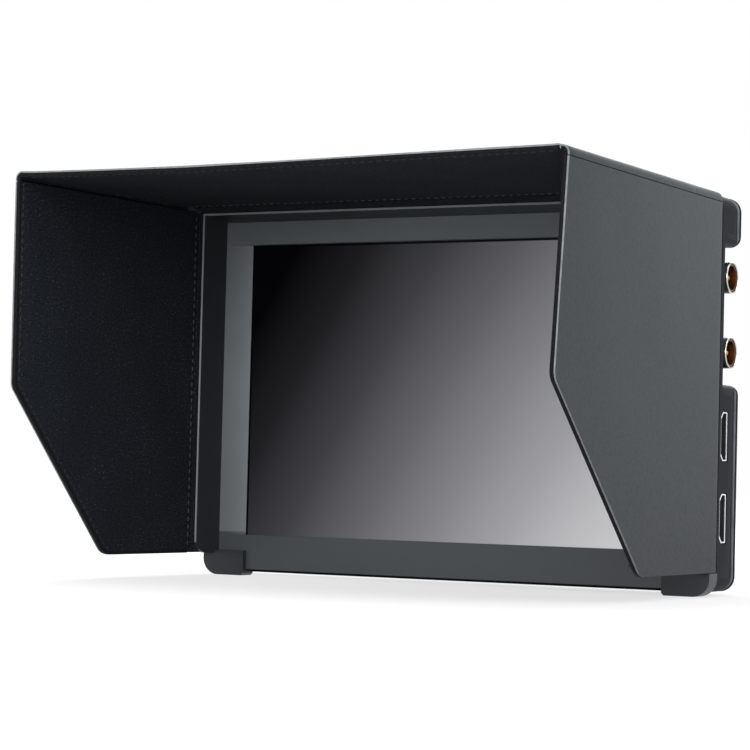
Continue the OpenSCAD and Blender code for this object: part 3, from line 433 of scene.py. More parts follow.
def turned(name, profile, centre, axis, material, steps=48, loop=True):
    """A piece turned on a lathe from (distance along the axis, radius) points. A loop is a closed section."""
    axis, centre = Vector(axis).normalized(), Vector(centre)
    side = axis.orthogonal().normalized()
    other = axis.cross(side)
    rings = [
        [
            centre + axis * along
            + (side * math.cos(2 * math.pi * i / steps) + other * math.sin(2 * math.pi * i / steps)) * radius
            for i in range(steps)
        ]
        for along, radius in profile
    ]
    obj = rings_object(name, rings, material, loop)
    obj.data.set_sharp_from_angle(angle=math.radians(40))
    return obj


def joined(name, parts):
    """Several meshes as one piece, each with its own finish."""
    work, materials = bmesh.new(), []
    for part in parts:
        start = len(work.faces)
        work.from_mesh(part.data)
        work.faces.ensure_lookup_table()
        for m in part.data.materials:
            if m not in materials:
                materials.append(m)
        for face in work.faces[start:]:
            face.material_index = materials.index(part.data.materials[face.material_index])
    mesh = bpy.data.meshes.new(name)
    work.to_mesh(mesh)
    work.free()
    for m in materials:
        mesh.materials.append(m)
    for part in parts:
        bpy.data.objects.remove(part)
    obj = bpy.data.objects.new(name, mesh)
    bpy.context.collection.objects.link(obj)
    return obj


def outline_of(node, i, j):
    """A flat construction solid's outline in two of its axes, in order round its middle."""
    points = {(round(v.co[i], 6), round(v.co[j], 6)) for v in frame["nodes"][node].data.vertices}
    ci = sum(p[0] for p in points) / len(points)
    cj = sum(p[1] for p in points) / len(points)
    return sorted(points, key=lambda p: math.atan2(p[1] - cj, p[0] - ci))


def front_at(outline, height):
    """The outline's foremost point (least Y) at a height, where outline holds (y, height) points."""
    best = None
    for a, b in zip(outline, outline[1:] + outline[:1]):
        low, high = min(a[1], b[1]), max(a[1], b[1])
        if low - 1e-9 <= height <= high + 1e-9 and high - low > 1e-9:
            y = a[0] + (b[0] - a[0]) * (height - a[1]) / (b[1] - a[1])
            best = y if best is None else min(best, y)
    return best


def steps_between(start, end, count):
    return [start + (end - start) * i / count for i in range(count + 1)]


def thick_sheet(name, outer, inner, material, ease, where=lambda p: True):
    """A closed sheet between two grids of points, with its edges eased."""
    rows, cols = len(outer), len(outer[0])
    verts = [p for row in outer for p in row] + [p for row in inner for p in row]
    base = rows * cols
    faces = []
    for i in range(rows - 1):
        for j in range(cols - 1):
            a, b, c, d = i * cols + j, i * cols + j + 1, (i + 1) * cols + j + 1, (i + 1) * cols + j
            faces += [(a, b, c, d), (base + d, base + c, base + b, base + a)]
    for i in range(rows - 1):
        for j in (0, cols - 1):
            a, b = i * cols + j, (i + 1) * cols + j
            faces.append((a, b, base + b, base + a))
    for j in range(cols - 1):
        for i in (0, rows - 1):
            a, b = i * cols + j, i * cols + j + 1
            faces.append((a, b, base + b, base + a))
    return ease_where(mesh_object(name, verts, faces, material), ease, where)


def ease_where(obj, width, where):
    """Rounds the sharp edges whose middle passes a test, and leaves the other sharp edges crisp."""
    mesh = obj.data
    work = bmesh.new()
    work.from_mesh(mesh)
    weight = work.edges.layers.float.new("bevel_weight_edge")
    for edge in work.edges:
        sharp = len(edge.link_faces) == 2 and edge.calc_face_angle() > math.radians(50)
        if sharp and where((edge.verts[0].co + edge.verts[1].co) / 2):
            edge[weight] = 1.0
    work.to_mesh(mesh)
    work.free()
    ease = obj.modifiers.new("eased edges", "BEVEL")
    ease.width = width
    ease.segments = 2
    ease.limit_method = "WEIGHT"
    ease.use_clamp_overlap = True
    obj = bake(obj)
    obj.data.set_sharp_from_angle(angle=math.radians(50))
    return obj


def swept(name, path, inward, across, section, material):
    """A strip of one section run along a path. The section's points are (inwards, across) in metres."""
    rings = [[point + side * n + across * t for n, t in section] for point, side in zip(path, inward)]
    obj = rings_object(name, rings, material)
    obj.data.set_sharp_from_angle(angle=math.radians(50))
    return obj


def round_box(n0, n1, t0, t1, r, steps=3):
    """A rectangle with round corners as (inwards, across) points."""
    points = []
    middles = (n1 - r, t1 - r, 0), (n0 + r, t1 - r, 90), (n0 + r, t0 + r, 180), (n1 - r, t0 + r, 270)
    for cn, ct, start in middles:
        for i in range(steps + 1):
            a = math.radians(start + 90 * i / steps)
            points.append((cn + r * math.cos(a), ct + r * math.sin(a)))
    return points


def inward_sides(path, centre):
    """For each point of a path in a plane, the unit direction square to the path that points inwards."""
    sides = []
    normal = None
    for i, p in enumerate(path):
        before, after = path[max(i - 1, 0)], path[min(i + 1, len(path) - 1)]
        run = (after - before).normalized()
        if normal is None:
            normal = run.cross(centre - p).normalized()
        sides.append(normal.cross(run).normalized())
    return sides


STITCH_SIDES = 6
# A stitch's rings: share of its length, share of its thickness, and lift in radii
STITCH_RINGS = (
    (-0.5, 0.35, -0.9), (-0.36, 0.85, -0.1), (0.0, 1.0, 0.25), (0.36, 0.85, -0.1), (0.5, 0.35, -0.9),
)


def stitches(name, points, facing, pitch, length, radius, material):
    """A row of lockstitches along a line of points: short rounded threads with their ends in the cloth."""
    verts, faces = [], []
    gone, goal = 0.0, pitch * 0.5
    for a, b in zip(points, points[1:]):
        span = (b - a).length
        run = (b - a).normalized() if span > 1e-9 else None
        while run is not None and gone + span >= goal:
            centre = a + run * (goal - gone)
            side = run.cross(facing).normalized()
            start = len(verts)
            for share, swell, lift in STITCH_RINGS:
                for k in range(STITCH_SIDES):
                    turn = 2 * math.pi / STITCH_SIDES * k
                    verts.append(
                        centre + run * share * length + side * math.cos(turn) * radius * swell
                        + facing * (math.sin(turn) * radius * swell + lift * radius)
                    )
            last = len(verts) - STITCH_SIDES
            for p in range(start, last, STITCH_SIDES):
                q = p + STITCH_SIDES
                for k in range(STITCH_SIDES):
                    m = (k + 1) % STITCH_SIDES
                    faces.append((p + k, p + m, q + m, q + k))
            faces.append(tuple(range(start, start + STITCH_SIDES)))
            faces.append(tuple(range(last, len(verts))))
            goal += pitch
        gone += span
    return mesh_object(name, verts, faces, material)


# ---- Sizes and colours that a user would change ----


def tint(label, text, hex_code):
    return FloatVectorProperty(
        name=label, description=text, subtype="COLOR", size=4, min=0, max=1, default=colour(hex_code),
    )


def length(label, text, default_mm, low_mm, high_mm):
    return FloatProperty(
        name=label, description=text, default=default_mm * MM, min=low_mm * MM, max=high_mm * MM,
        unit="LENGTH", subtype="DISTANCE", precision=5,
    )


def power(label, text, default):
    return FloatProperty(name=label, description=text, default=default, min=0.0, unit="POWER")


class HoodLooks(PropertyGroup):
    leatherette: tint("Leatherette", "Colour of the hood's outer covering", "#3e4346")
    lining: tint("Lining", "Colour of the loop cloth inside the side flaps", "#1e232a")
    # the top lining is drawn darker than the sides' as painted shade
    top_lining: tint("Top lining", "Colour of the loop cloth under the top flap", "#11151b")
    speck: tint("Loop specks", "Colour of the loops that catch the light", "#565a60")
    tape: tint("Edging tape", "Colour of the woven tape round the open edges", "#141517")
    thread: tint("Thread", "Colour of the edge seams' thread", "#1d2024")
    plastic: tint("Hood frame", "Colour of the frame that clips on the monitor", "#33373b")
    # the frame's front edge is pale with a painted highlight
    rubbed: tint("Edge highlight", "Colour of the highlight painted on the frame's front edge", "#b4babd")
    raw_edge: tint("Cut edge colour", "Colour of the leatherette where it is cut", "#a0a5a7")
    # the rim is a dark strip painted as the shadow in the gap behind the covering
    rim: tint("Rim", "Colour of the dark strip painted as shadow behind the covering", "#393c3f")
    tape_width: length("Tape width", "How far the edging tape reaches over the lining", 0.9, 0.4, 3.0)
    cut_edge: length("Cut edge", "Rounding of the leatherette's cut edge", 0.2, 0.05, 0.24)
    waves: length("Waves", "How far the covering stands off flat between its bonds", 0.1, 0.0, 0.15)
    sag: length("Sag", "How far the top flap's front edge hangs below a straight line", 1.4, 0.0, 1.5)
    pitch: length("Stitch pitch", "Distance from one stitch to the next", 2.6, 1.5, 5.0)
    stitch: length("Stitch length", "Length of a stitch that shows", 1.7, 0.8, 3.0)
    thread_thick: length("Thread thickness", "Thickness of the seams' thread", 0.34, 0.15, 0.6)
    frame_ease: length("Frame edge", "Rounding of the hood frame's edges", 0.25, 0.05, 0.3)


class CasingLooks(PropertyGroup):
    bezel: tint("Bezel", "Colour of the bezel round the screen, above its lower bar", "#7e8488")
    bezel_low: tint("Lower bezel", "Colour of the bezel's lower bar", "#4e5357")
    casing: tint("Casing", "Colour of the middle casing", "#26292d")
    cover: tint("Rear cover", "Colour of the painted rear cover", "#1b1e21")
    button: tint("Buttons", "Colour of the push buttons", "#33373a")
    latch: tint("Latch", "Colour of the battery latch", "#a3241c")
    moulded_edge: length("Moulded edge", "Rounding of the casing's edges", 0.35, 0.05, 0.6)
    small_edge: length("Small edge", "Rounding of small fittings' edges", 0.15, 0.03, 0.3)
    ridge: length("Thread ridge", "Pitch of the coax jacks' clamping thread", 0.62, 0.4, 1.2)


class StageLooks(PropertyGroup):
    key: power("Side light", "Power of the soft light at the right", 4.5)
    front: power("Front light", "Power of the soft light behind the camera", 13.0)
    top: power("Top light", "Power of the soft light overhead", 9.0)
    back: power("Back light", "Power of the soft light at the back", 10.0)
    surround: FloatProperty(
        name="Surround", description="Level of the even light from all round", default=0.4, min=0.0, max=1.0,
    )


def looks():
    """The user's sizes and colours: hood, casing, stage."""
    scene = bpy.context.scene
    return scene.monitor_hood_looks, scene.monitor_casing_looks, scene.monitor_stage_looks


def shared(maker):
    """Makes a finish at its first use and hands the same material to every later piece."""

    def finish():
        for material in bpy.data.materials:
            if material.get("made by") == maker.__name__:
                return material
        material = maker()
        material["made by"] = maker.__name__
        return material

    return finish


def tones(base, spread):
    """A lighter and a darker tone of one colour."""
    return [min(c * (1 + spread), 1) for c in base[:3]] + [1], [c * (1 - spread) for c in base[:3]] + [1]


@shared
def leatherette():
    # Polyurethane leatherette: its roller-embossed grain breaks the highlight into a fine, even grey.
    return embossed_leatherette("Embossed leatherette", *tones(looks()[0].leatherette, 0.05))


@shared
def side_lining():
    # Loop cloth, woven black: rows of loops run from the crease to the open edge and swallow the light.
    hood = looks()[0]
    return looped_cloth("Woven loop cloth, sides", *tones(hood.lining, 0.5), hood.speck, 0)


@shared
def top_lining():
    # The same loop cloth on the top flap, its rows running across, drawn darker as painted shade.
    hood = looks()[0]
    return looped_cloth("Woven loop cloth, top", *tones(hood.top_lining, 0.5), hood.speck, 1)


@shared
def edging_tape():
    # Woven polyester tape: coarse and matt, darker and duller than the leatherette beside it.
    base = tones(looks()[0].tape, 0.6)
    return moulded("Woven polyester tape", *base, 0.6, 60, (0.7, 0.8), 1, Specular_IOR_Level=0.15)


@shared
def raw_edge():
    # The leatherette's knitted backing, cut through: a thin pale line along every open edge.
    base = tones(looks()[0].raw_edge, 0.15)
    return moulded("Cut leatherette edge", *base, 0.4, 30, (0.6, 0.75), 2, Specular_IOR_Level=0.2)


@shared
def rim_rubber():
    # A matt dark strip that closes the covering's rear edge: painted shade for the gap between the covering
    #     and the casing.
    base = tones(looks()[0].rim, 0.1)
    return moulded("Extruded nitrile rubber", *base, 0.4, 10, (0.55, 0.7), 4, Specular_IOR_Level=0.1)


@shared
def crease_thread():
    # The creases' thread, the same but drawn paler as a painted highlight, so that each stitch shows as a
    #     small light dash.
    return moulded("Twisted polyester thread, creases", "#5b6065", "#3c4045", 0.3, 40, (0.5, 0.6), 2)


@shared
def thread():
    # Twisted polyester thread along the edges: dark and slightly shiny, so that it stays quiet.
    return moulded("Twisted polyester thread", *tones(looks()[0].thread, 0.1), 0.3, 40, (0.35, 0.5), 2)


@shared
def hood_plastic():
    # ABS moulded against a spark-eroded die: satin, with a painted highlight along its thin front edge,
    #     which is pale and smoother.
    hood = looks()[0]
    return two_zone(
        "Moulded ABS, hood frame", tones(hood.plastic, 0.06), tones(hood.rubbed, 0.08), "Y",
        FRAME_LOW.y + 0.3 * MM, FRAME_LOW.y + 0.15 * MM, (0.38, 0.25), Specular_IOR_Level=0.3,
    )


@shared
def bezel_plastic():
    # ABS moulded with a fine texture: satin grey, drawn darker on its lower bar, which gets less light.
    casing = looks()[1]
    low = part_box("front_bezel")[0].z
    return two_zone(
        "Moulded ABS, bezel", tones(casing.bezel_low, 0.03), tones(casing.bezel, 0.03), "Z",
        low + 12.0 * MM, low + 12.5 * MM, (0.44, 0.44),
    )


@shared
def casing_plastic():
    # Glass-filled ABS moulded with a fine texture: a dry satin with faint flow patches.
    base = tones(looks()[1].casing, 0.05)
    return moulded("Moulded ABS, casing", *base, 0.5, 14, (0.42, 0.52), Specular_IOR_Level=0.02)


@shared
def cover_plate():
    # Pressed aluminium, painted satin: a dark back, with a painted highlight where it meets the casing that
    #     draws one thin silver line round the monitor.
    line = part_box("rear_cover")[0].y
    return two_zone(
        "Painted aluminium, bright step", tones(looks()[1].cover, 0.05), ("#8b9195", "#74797d"), "Y",
        line + 0.25 * MM, line + 0.15 * MM, Specular_IOR_Level=0.02,
    )


@shared
def button_plastic():
    # ABS keys, moulded satin and a little polished by fingers.
    return moulded("Moulded ABS, keys", *tones(looks()[1].button, 0.05), 0.4, 8, (0.3, 0.42))


@shared
def light_pipe():
    # Cast acrylic light pipe: smoky, polished and nearly black while it is off.
    return moulded("Smoky acrylic", "#22262a", "#15181b", 0.6, 2, (0.08, 0.14), 3, IOR=1.49, Coat_Weight=0.4)


@shared
def display_glass():
    # Display glass bonded on the panel, coated against glare: soft sheen over a plain grey ramp, which is a
    #     painted reflection that glows a little.
    return panel_glass("Coated display glass")


@shared
def blackened_brass():
    # Brass, turned and blackened: near black, with a dull metallic sheen.
    return moulded("Blackened turned brass", "#26262a", "#111113", 0.3, 6, (0.26, 0.4), 6, Metallic=0.6)


@shared
def nickel():
    # Bright nickel plate over brass: a warm mirror, slightly clouded.
    return brushed("Nickel plate", "#d6d3cb", "#b7b3aa", 0, (0.14, 0.26))


@shared
def gold():
    # Hard gold flash over nickel: a deep coppery gold with soft highlights.
    return brushed("Gold plate", "#d69a4a", "#9a6228", 0, (0.22, 0.36))


@shared
def bronze():
    # Phosphor bronze: dark brown, with a dull gleam down the bore.
    return brushed("Tarnished phosphor bronze", "#8f663e", "#5f4329", 0, (0.3, 0.45))


@shared
def insulator():
    # Moulded acetal insulator: waxy dark amber, which hides the depth of the jack.
    return moulded(
        "Moulded acetal, insulators", "#a87034", "#7d5020", 0.8, 3, (0.3, 0.4), 2, Specular_IOR_Level=0.3,
    )


@shared
def stamped_steel():
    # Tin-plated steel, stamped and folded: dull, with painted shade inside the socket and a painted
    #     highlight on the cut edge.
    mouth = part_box("video_in_port")[1].x
    return two_zone(
        "Tin-plated steel shell", ("#3a3c40", "#28292c"), ("#f0f2f3", "#dcdfe1"), "X", mouth - 0.35 * MM,
        mouth - 0.2 * MM, (0.5, 0.25), 0.9, Specular_IOR_Level=0.2,
    )


@shared
def socket_plastic():
    # Liquid-crystal polymer, moulded: near black and matt, with faint flow marks.
    return moulded("Moulded polymer, sockets", "#1b1c1e", "#121314", 0.4, 8, (0.45, 0.6), 6)


@shared
def latch_plastic():
    # Acetal, moulded and red: smooth and slightly waxy.
    return moulded("Moulded acetal, latch", *tones(looks()[1].latch, 0.06), 0.6, 4, (0.3, 0.4), 6)


@shared
def black_screws():
    # Carbon steel, black zinc plated: dark, with a dull metallic gleam on the head.
    return brushed("Black zinc on steel", "#4a4b4e", "#303134", 1, (0.28, 0.4))


@shared
def spring_steel():
    # Music wire, drawn and oiled: grey with a fine bright line.
    return brushed("Drawn spring steel", "#9a9a98", "#74746f", 2, (0.24, 0.36))


@shared
def turned_brass():
    # Free-cutting brass, turned: yellow, with fine tool rings.
    return brushed("Turned brass", "#cfae63", "#a88544", 2, (0.2, 0.32))


@shared
def rolled_aluminium():
    # Aluminium sheet as rolled: pale, with lines along the sheet.
    return brushed("Rolled aluminium", "#c9ccce", "#a9adb0", 0, (0.3, 0.42))


@shared
def galvanised_steel():
    # Galvanised steel sheet, pressed: pale grey spangle.
    return moulded("Galvanised steel", "#a9adb0", "#85898d", 4, 4, (0.3, 0.5), 9, Metallic=0.9)


@shared
def board_laminate():
    # Glass-epoxy laminate under dark green solder resist: glossy and faintly uneven.
    return moulded("Glass-epoxy laminate", "#16261d", "#0d1a14", 0.7, 10, (0.25, 0.35), 12)


@shared
def chip_resin():
    # Moulded epoxy on the chips: sandy matt black.
    return moulded("Moulded epoxy, chips", "#26272a", "#1b1c1e", 0.3, 8, (0.5, 0.65), 5)


@shared
def ribbon_film():
    # Polyimide film: amber and smooth.
    return moulded("Polyimide film", "#b8742a", "#8f541b", 0.8, 5, (0.25, 0.35), 8)


@shared
def diffuser_film():
    # Diffuser film over the light guide: milky white and matt.
    return moulded("Diffuser film", "#e4e6e8", "#d3d6d8", 0.4, 5, (0.55, 0.7), 20)


@shared
def grey_board():
    # Grey bookbinder's board: dull, with fibres.
    return moulded("Grey board", "#77756f", "#63615c", 0.8, 40, (0.8, 0.9), 6)


@shared
def paper_cone():
    # Speaker: black paper cone in a moulded frame.
    return moulded("Pressed paper and ABS", "#25262a", "#17181b", 0.7, 20, (0.6, 0.75), 6)


# ---- The hood's covering ----


def crease_of(flap):
    return JOINTS[f"{flap}_fold"]["pos_m"][1]


def sheet_stations(crease, front):
    """Distances along the covering, close together where it bends."""
    near = [RIM / MM + n for n in (0.0, 0.1, 0.25, 0.5, 0.8, 1.1, 4.0, 8.0, 12.0)]
    bend = [1.2, 0.6, 0.16, 0.14, -0.3, -0.8, -1.3, -1.8, -2.6]
    fixed = [SKIN_HIGH.y - n * MM for n in near] + [crease + b * MM for b in bend]
    return fixed + steps_between(fixed[-1], front, 24)[1:]


def stations_from(back, stations):
    """The stations in front of a place, with that place as the first."""
    return stations if back is None else [back, *(y for y in stations if y < back - 0.1 * MM)]


def wave(a, b, seed, height):
    """A slow unevenness, as a bonded sheet has."""
    return noise.noise(Vector((a / WAVE_LONG, b / WAVE_LONG, seed))) * height


def flat_map(obj, along, across):
    """Lays the sheet's pattern on it flat, in metres, so that it keeps to the cloth when a flap folds."""
    layer = obj.data.uv_layers.new(name="flat_pattern")
    for loop in obj.data.loops:
        co = obj.data.vertices[loop.vertex_index].co
        layer.data[loop.index].uv = (along(co), across(co))
    return obj


def levels_of(outline, count=30):
    """Heights of a flap's rows, with one at each corner of its outline."""
    low, high = min(p[1] for p in outline), max(p[1] for p in outline)
    wanted = sorted([*steps_between(low, high, count), *(p[1] for p in outline)])
    kept = [low]
    for z in wanted:
        if z - kept[-1] > 0.12 * MM:
            kept.append(z)
    kept[-1] = high
    return kept


# How far the top flap's front edge hangs below a straight line at places across it, as a share of the
# largest sag: it hangs most left of its middle, and its right-hand end stands a little proud
SAG_SHARE = (
    (-90, 0.4), (-86, 0.61), (-76, 0.72), (-63, 0.82), (-30, 1.0),
    (2.5, 0.75), (35, 0.41), (68, 0.14), (84, 0.0), (90, -0.12),
)


def settle(obj):
    """Lets the covering hang as the folded sheet does, more towards its front edge. The side flaps follow
    with their upper edges."""
    sag, crease = looks()[0].sag, crease_of("top_flap")
    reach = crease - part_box("top_flap_skin")[0].y
    for vertex in obj.data.vertices:
        x, y, z = vertex.co
        share = SAG_SHARE[-1][1]
        for (x0, s0), (x1, s1) in zip(SAG_SHARE, SAG_SHARE[1:]):
            if x <= x1 * MM:
                share = s0 + (s1 - s0) * max(0.0, (x / MM - x0) / (x1 - x0))
                break
        out = max(0.0, (crease - y) / reach)
        high = min(1.0, max(0.0, (z - 0.06) / (CORNER_Z - 0.06)))
        vertex.co.z -= sag * share * out * high
    return obj


def open_edge(outline, crease):
    """The flap's free edge from its upper front corner, down the front and back along the bottom."""
    cy = sum(p[0] for p in outline) / len(outline)
    cz = sum(p[1] for p in outline) / len(outline)
    turn = sorted(outline, key=lambda p: math.atan2(p[1] - cz, p[0] - cy) % (2 * math.pi))
    edge = [p for p in turn if p[0] < crease - FREE_FROM]
    return edge + [(crease - TAPE_END, edge[-1][1])]


def side_sheet(name, side, flap, material, outer, inner, ease, waves, drop=0.0, back=None):
    """A sheet on one side of the hood. outer and inner give its two faces' depth inwards from the hood's
    side at a distance along it, drop is how far its upper edge lies below the flap's, and back is where it
    begins, if not at the frame's rear edge."""
    outline = outline_of(f"{flap}_skin", 1, 2)
    crease = crease_of(flap)
    top = max(p[1] for p in outline)
    front_rows, back_rows = [], []
    for z in levels_of(outline):
        ys = stations_from(back, sheet_stations(crease, front_at(outline, z)))
        level = min(z, top - drop)
        depths = [outer(y) - wave(y, z, side, waves) for y in ys]
        front_rows.append([Vector((side * (HOOD_HALF - depth), y, level)) for depth, y in zip(depths, ys)])
        back_rows.append([Vector((side * (HOOD_HALF - inner(y)), y, level)) for y in ys])
    obj = settle(thick_sheet(name, front_rows, back_rows, material, ease))
    return flat_map(obj, lambda co: co.y, lambda co: co.z)


def rolled(y):
    """How far the covering dips where it rolls over the frame's rear edge."""
    past = max(0.0, 1.0 - (SKIN_HIGH.y - RIM - y) / ROLL_LONG)
    return ROLL_DEEP * (1 - math.sqrt(max(0.0, 1 - past * past)))


def show_cut_edges(obj, across, crease):
    """Gives the sheet's cut edges, seen end on, the paler finish of its backing."""
    obj.data.materials.append(raw_edge())
    for face in obj.data.polygons:
        if abs(face.normal[across]) < 0.75 and face.center.y < crease - FREE_FROM:
            face.material_index = 1
    return obj


def bend_at(obj):
    """Bakes the sheet's placing into its own mesh."""
    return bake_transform(obj)


class MONITOR_OT_skins(Operator):
    """Leatherette over the hood: wrapped on the frame, thin at each crease and bonded on each flap"""

    bl_idname = "monitor_hood.skins"
    bl_label = "Leatherette Covering"

    def execute(self, context):
        hood = looks()[0]
        material = leatherette()
        for flap, side in SIDE_FLAPS:
            crease = crease_of(flap)
            obj = side_sheet(
                f"{flap}_covering", side, flap, material, rolled,
                lambda y: FLAP_T if y > crease + CREASE_BACK else SKIN, hood.cut_edge, hood.waves, SEAM_DROP,
            )
            show_cut_edges(obj, 0, crease)
            bend_at(obj)
            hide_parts(f"{flap}_skin", "frame_skin")

        # the top flap's covering and its board are bonded, so they sag as one sheet
        crease = crease_of("top_flap")
        ys = sheet_stations(crease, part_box("top_flap_skin")[0].y)
        over, under = [], []
        for x in steps_between(-TOP_HALF, TOP_HALF, 44):
            fade = min(1, (TOP_HALF - abs(x)) / 0.02)
            over.append([Vector((x, y, HOOD_TOP - rolled(y) + wave(x, y, 5, hood.waves * fade))) for y in ys])
            under.append([Vector((x, y, HOOD_TOP - self.depth_at(y, crease))) for y in ys])
        obj = thick_sheet(
            "top_flap_covering", over, under, material, hood.cut_edge, lambda p: abs(p.x) < TOP_HALF - MM,
        )
        flat_map(settle(obj), lambda co: co.y, lambda co: co.x + 0.3)
        show_cut_edges(obj, 2, crease)
        bend_at(obj)
        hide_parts("top_flap_skin", "top_flap_board", "frame_skin")

        # the rounded shoulders: fixed ones on the frame, and soft ones attached to the top flap
        tape, cloth = edging_tape(), top_lining()
        for word, side in (("left", -1), ("right", 1)):
            ys = [y for y in sheet_stations(crease, -1) if y > crease + CREASE_BACK] + [crease + CREASE_BACK]
            fixed = self.tube(f"{word}_frame_shoulder", side, CORNER_R, CORNER_R - FLAP_T, ys, material, hood)
            flat_map(fixed, lambda co: co.y, lambda co: abs(co.x) + co.z)
            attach(fixed, "hood_frame")
            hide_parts("frame_skin")
            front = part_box(f"{word}_corner_lip")[0].y
            flap_start = crease - CREASE_FRONT
            inner = CORNER_R - SKIN
            skin_ys = steps_between(crease - 0.05 * MM, front, 20)
            cloth_ys = steps_between(flap_start, front + 0.1 * MM, 20)
            tape_ys = [front + hood.tape_width, front - 0.1 * MM]
            parts = [
                self.tube("skin", side, CORNER_R, inner, skin_ys, material, hood),
                self.tube("cloth", side, inner, CORNER_R - FLAP_T, cloth_ys, cloth, hood),
                self.tube("tape", side, inner, CORNER_R - FLAP_T - 0.05 * MM, tape_ys, tape, hood),
            ]
            parts[0].data.materials.append(raw_edge())
            for face in parts[0].data.polygons:
                face.material_index = int(face.normal.y < -0.75 and face.center.y < front + 0.3 * MM)
            soft = settle(joined(f"{word}_flap_shoulder", parts))
            flat_map(soft, lambda co: co.y, lambda co: abs(co.x) + co.z)
            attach(soft, "top_flap")
            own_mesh(soft)
            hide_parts(f"{word}_corner_lip")
        return {"FINISHED"}

    def depth_at(self, y, crease):
        """Thickness of the top covering: full on the frame, bare skin at the crease, then skin and board."""
        if y > crease + CREASE_BACK:
            return FLAP_T
        return SKIN if y > crease - CREASE_FRONT else BOARD

    def tube(self, label, side, r_out, r_in, ys, finish, hood):
        """A quarter-round length of the covering, which reaches a little down the side to its seam."""

        def arc(r, y):
            r -= rolled(y)
            drops = SEAM_DROP - 0.04 * MM, SEAM_DROP * 0.5
            return [Vector((side * (TOP_HALF + r), y, CORNER_Z - drop)) for drop in drops] + [
                Vector((side * (TOP_HALF + r * math.cos(t)), y, CORNER_Z + r * math.sin(t)))
                for t in steps_between(0, math.pi / 2, 10)
            ]

        rings = [arc(r_out, y) + arc(r_in + rolled(y), y)[::-1] for y in ys]
        piece = rings_object(label, rings, finish)
        return ease_where(piece, hood.cut_edge * 0.8, lambda p: abs(p.x) > TOP_HALF + 0.2 * MM)


class MONITOR_OT_linings(Operator):
    """Loop cloth inside the hood, from the frame's lip over each crease to the open edges"""

    bl_idname = "monitor_hood.linings"
    bl_label = "Loop Cloth Linings"

    def execute(self, context):
        def face(crease, fall):
            def depth(y):
                past = (crease - y) / MM
                if past < -0.3:  # thin against the frame's covering, and down to the lip's front edge
                    return FLAP_T + 0.13 * MM + fall * (y - crease) / (FRAME_LOW.y - crease)
                if past < 1.8:
                    dip = 0.5 + 0.5 * math.cos(math.pi * (past - 0.75) / 1.05)
                    return FLAP_T - 0.55 * MM * max(0.0, dip)
                return FLAP_T
            return depth

        def back(crease):
            def depth(y):
                past = (crease - y) / MM
                return FLAP_T - 0.05 * MM if past < -0.15 else (SKIN if past < 1.8 else BOARD)
            return depth

        cloth = side_lining()
        for flap, side in SIDE_FLAPS:
            crease = crease_of(flap)
            obj = side_sheet(
                f"{flap}_cloth", side, flap, cloth, face(crease, 0), back(crease), 0.05 * MM, 0.0,
                back=FRAME_LOW.y,
            )
            bend_at(obj)
            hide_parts(f"{flap}_lining")

        crease = crease_of("top_flap")
        ys = stations_from(FRAME_LOW.y, sheet_stations(crease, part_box("top_flap_lining")[0].y))
        under, over = [], []
        for x in steps_between(-TOP_HALF, TOP_HALF, 30):
            under.append([Vector((x, y, HOOD_TOP - face(crease, 1.15 * MM)(y))) for y in ys])
            over.append([Vector((x, y, HOOD_TOP - back(crease)(y))) for y in ys])
        obj = settle(thick_sheet("top_flap_cloth", under, over, top_lining(), 0.05 * MM))
        flat_map(obj, lambda co: co.y, lambda co: co.x)
        bend_at(obj)
        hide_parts("top_flap_lining")
        return {"FINISHED"}


class MONITOR_OT_edging(Operator):
    """Woven tape folded over the boards' open edges"""

    bl_idname = "monitor_hood.edging"
    bl_label = "Edging Tape"

    def execute(self, context):
        hood = looks()[0]
        tape = edging_tape()
        depth = FLAP_T - SKIN
        section = round_box(-0.12 * MM, hood.tape_width, 0.0, depth + 0.08 * MM, 0.11 * MM)
        for flap, side in SIDE_FLAPS:
            edge = open_edge(outline_of(f"{flap}_skin", 1, 2), crease_of(flap))
            path = [Vector((side * (HOOD_HALF - SKIN), y, z)) for y, z in edge]
            inward = inward_sides(path, SIDE_MIDDLE + Vector((side * HOOD_HALF, 0, 0)))
            obj = swept(f"{flap}_edging", path, inward, Vector((-side, 0, 0)), section, tape)
            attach(settle(obj), flap)
        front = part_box("top_flap_skin")[0].y
        path = [Vector((x, front, HOOD_TOP - SKIN)) for x in steps_between(-TOP_HALF, TOP_HALF, 40)]
        inward = [Vector((0, 1, 0))] * len(path)
        obj = swept("top_flap_edging", path, inward, Vector((0, 0, -1)), section, tape)
        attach(settle(obj), "top_flap")
        return {"FINISHED"}


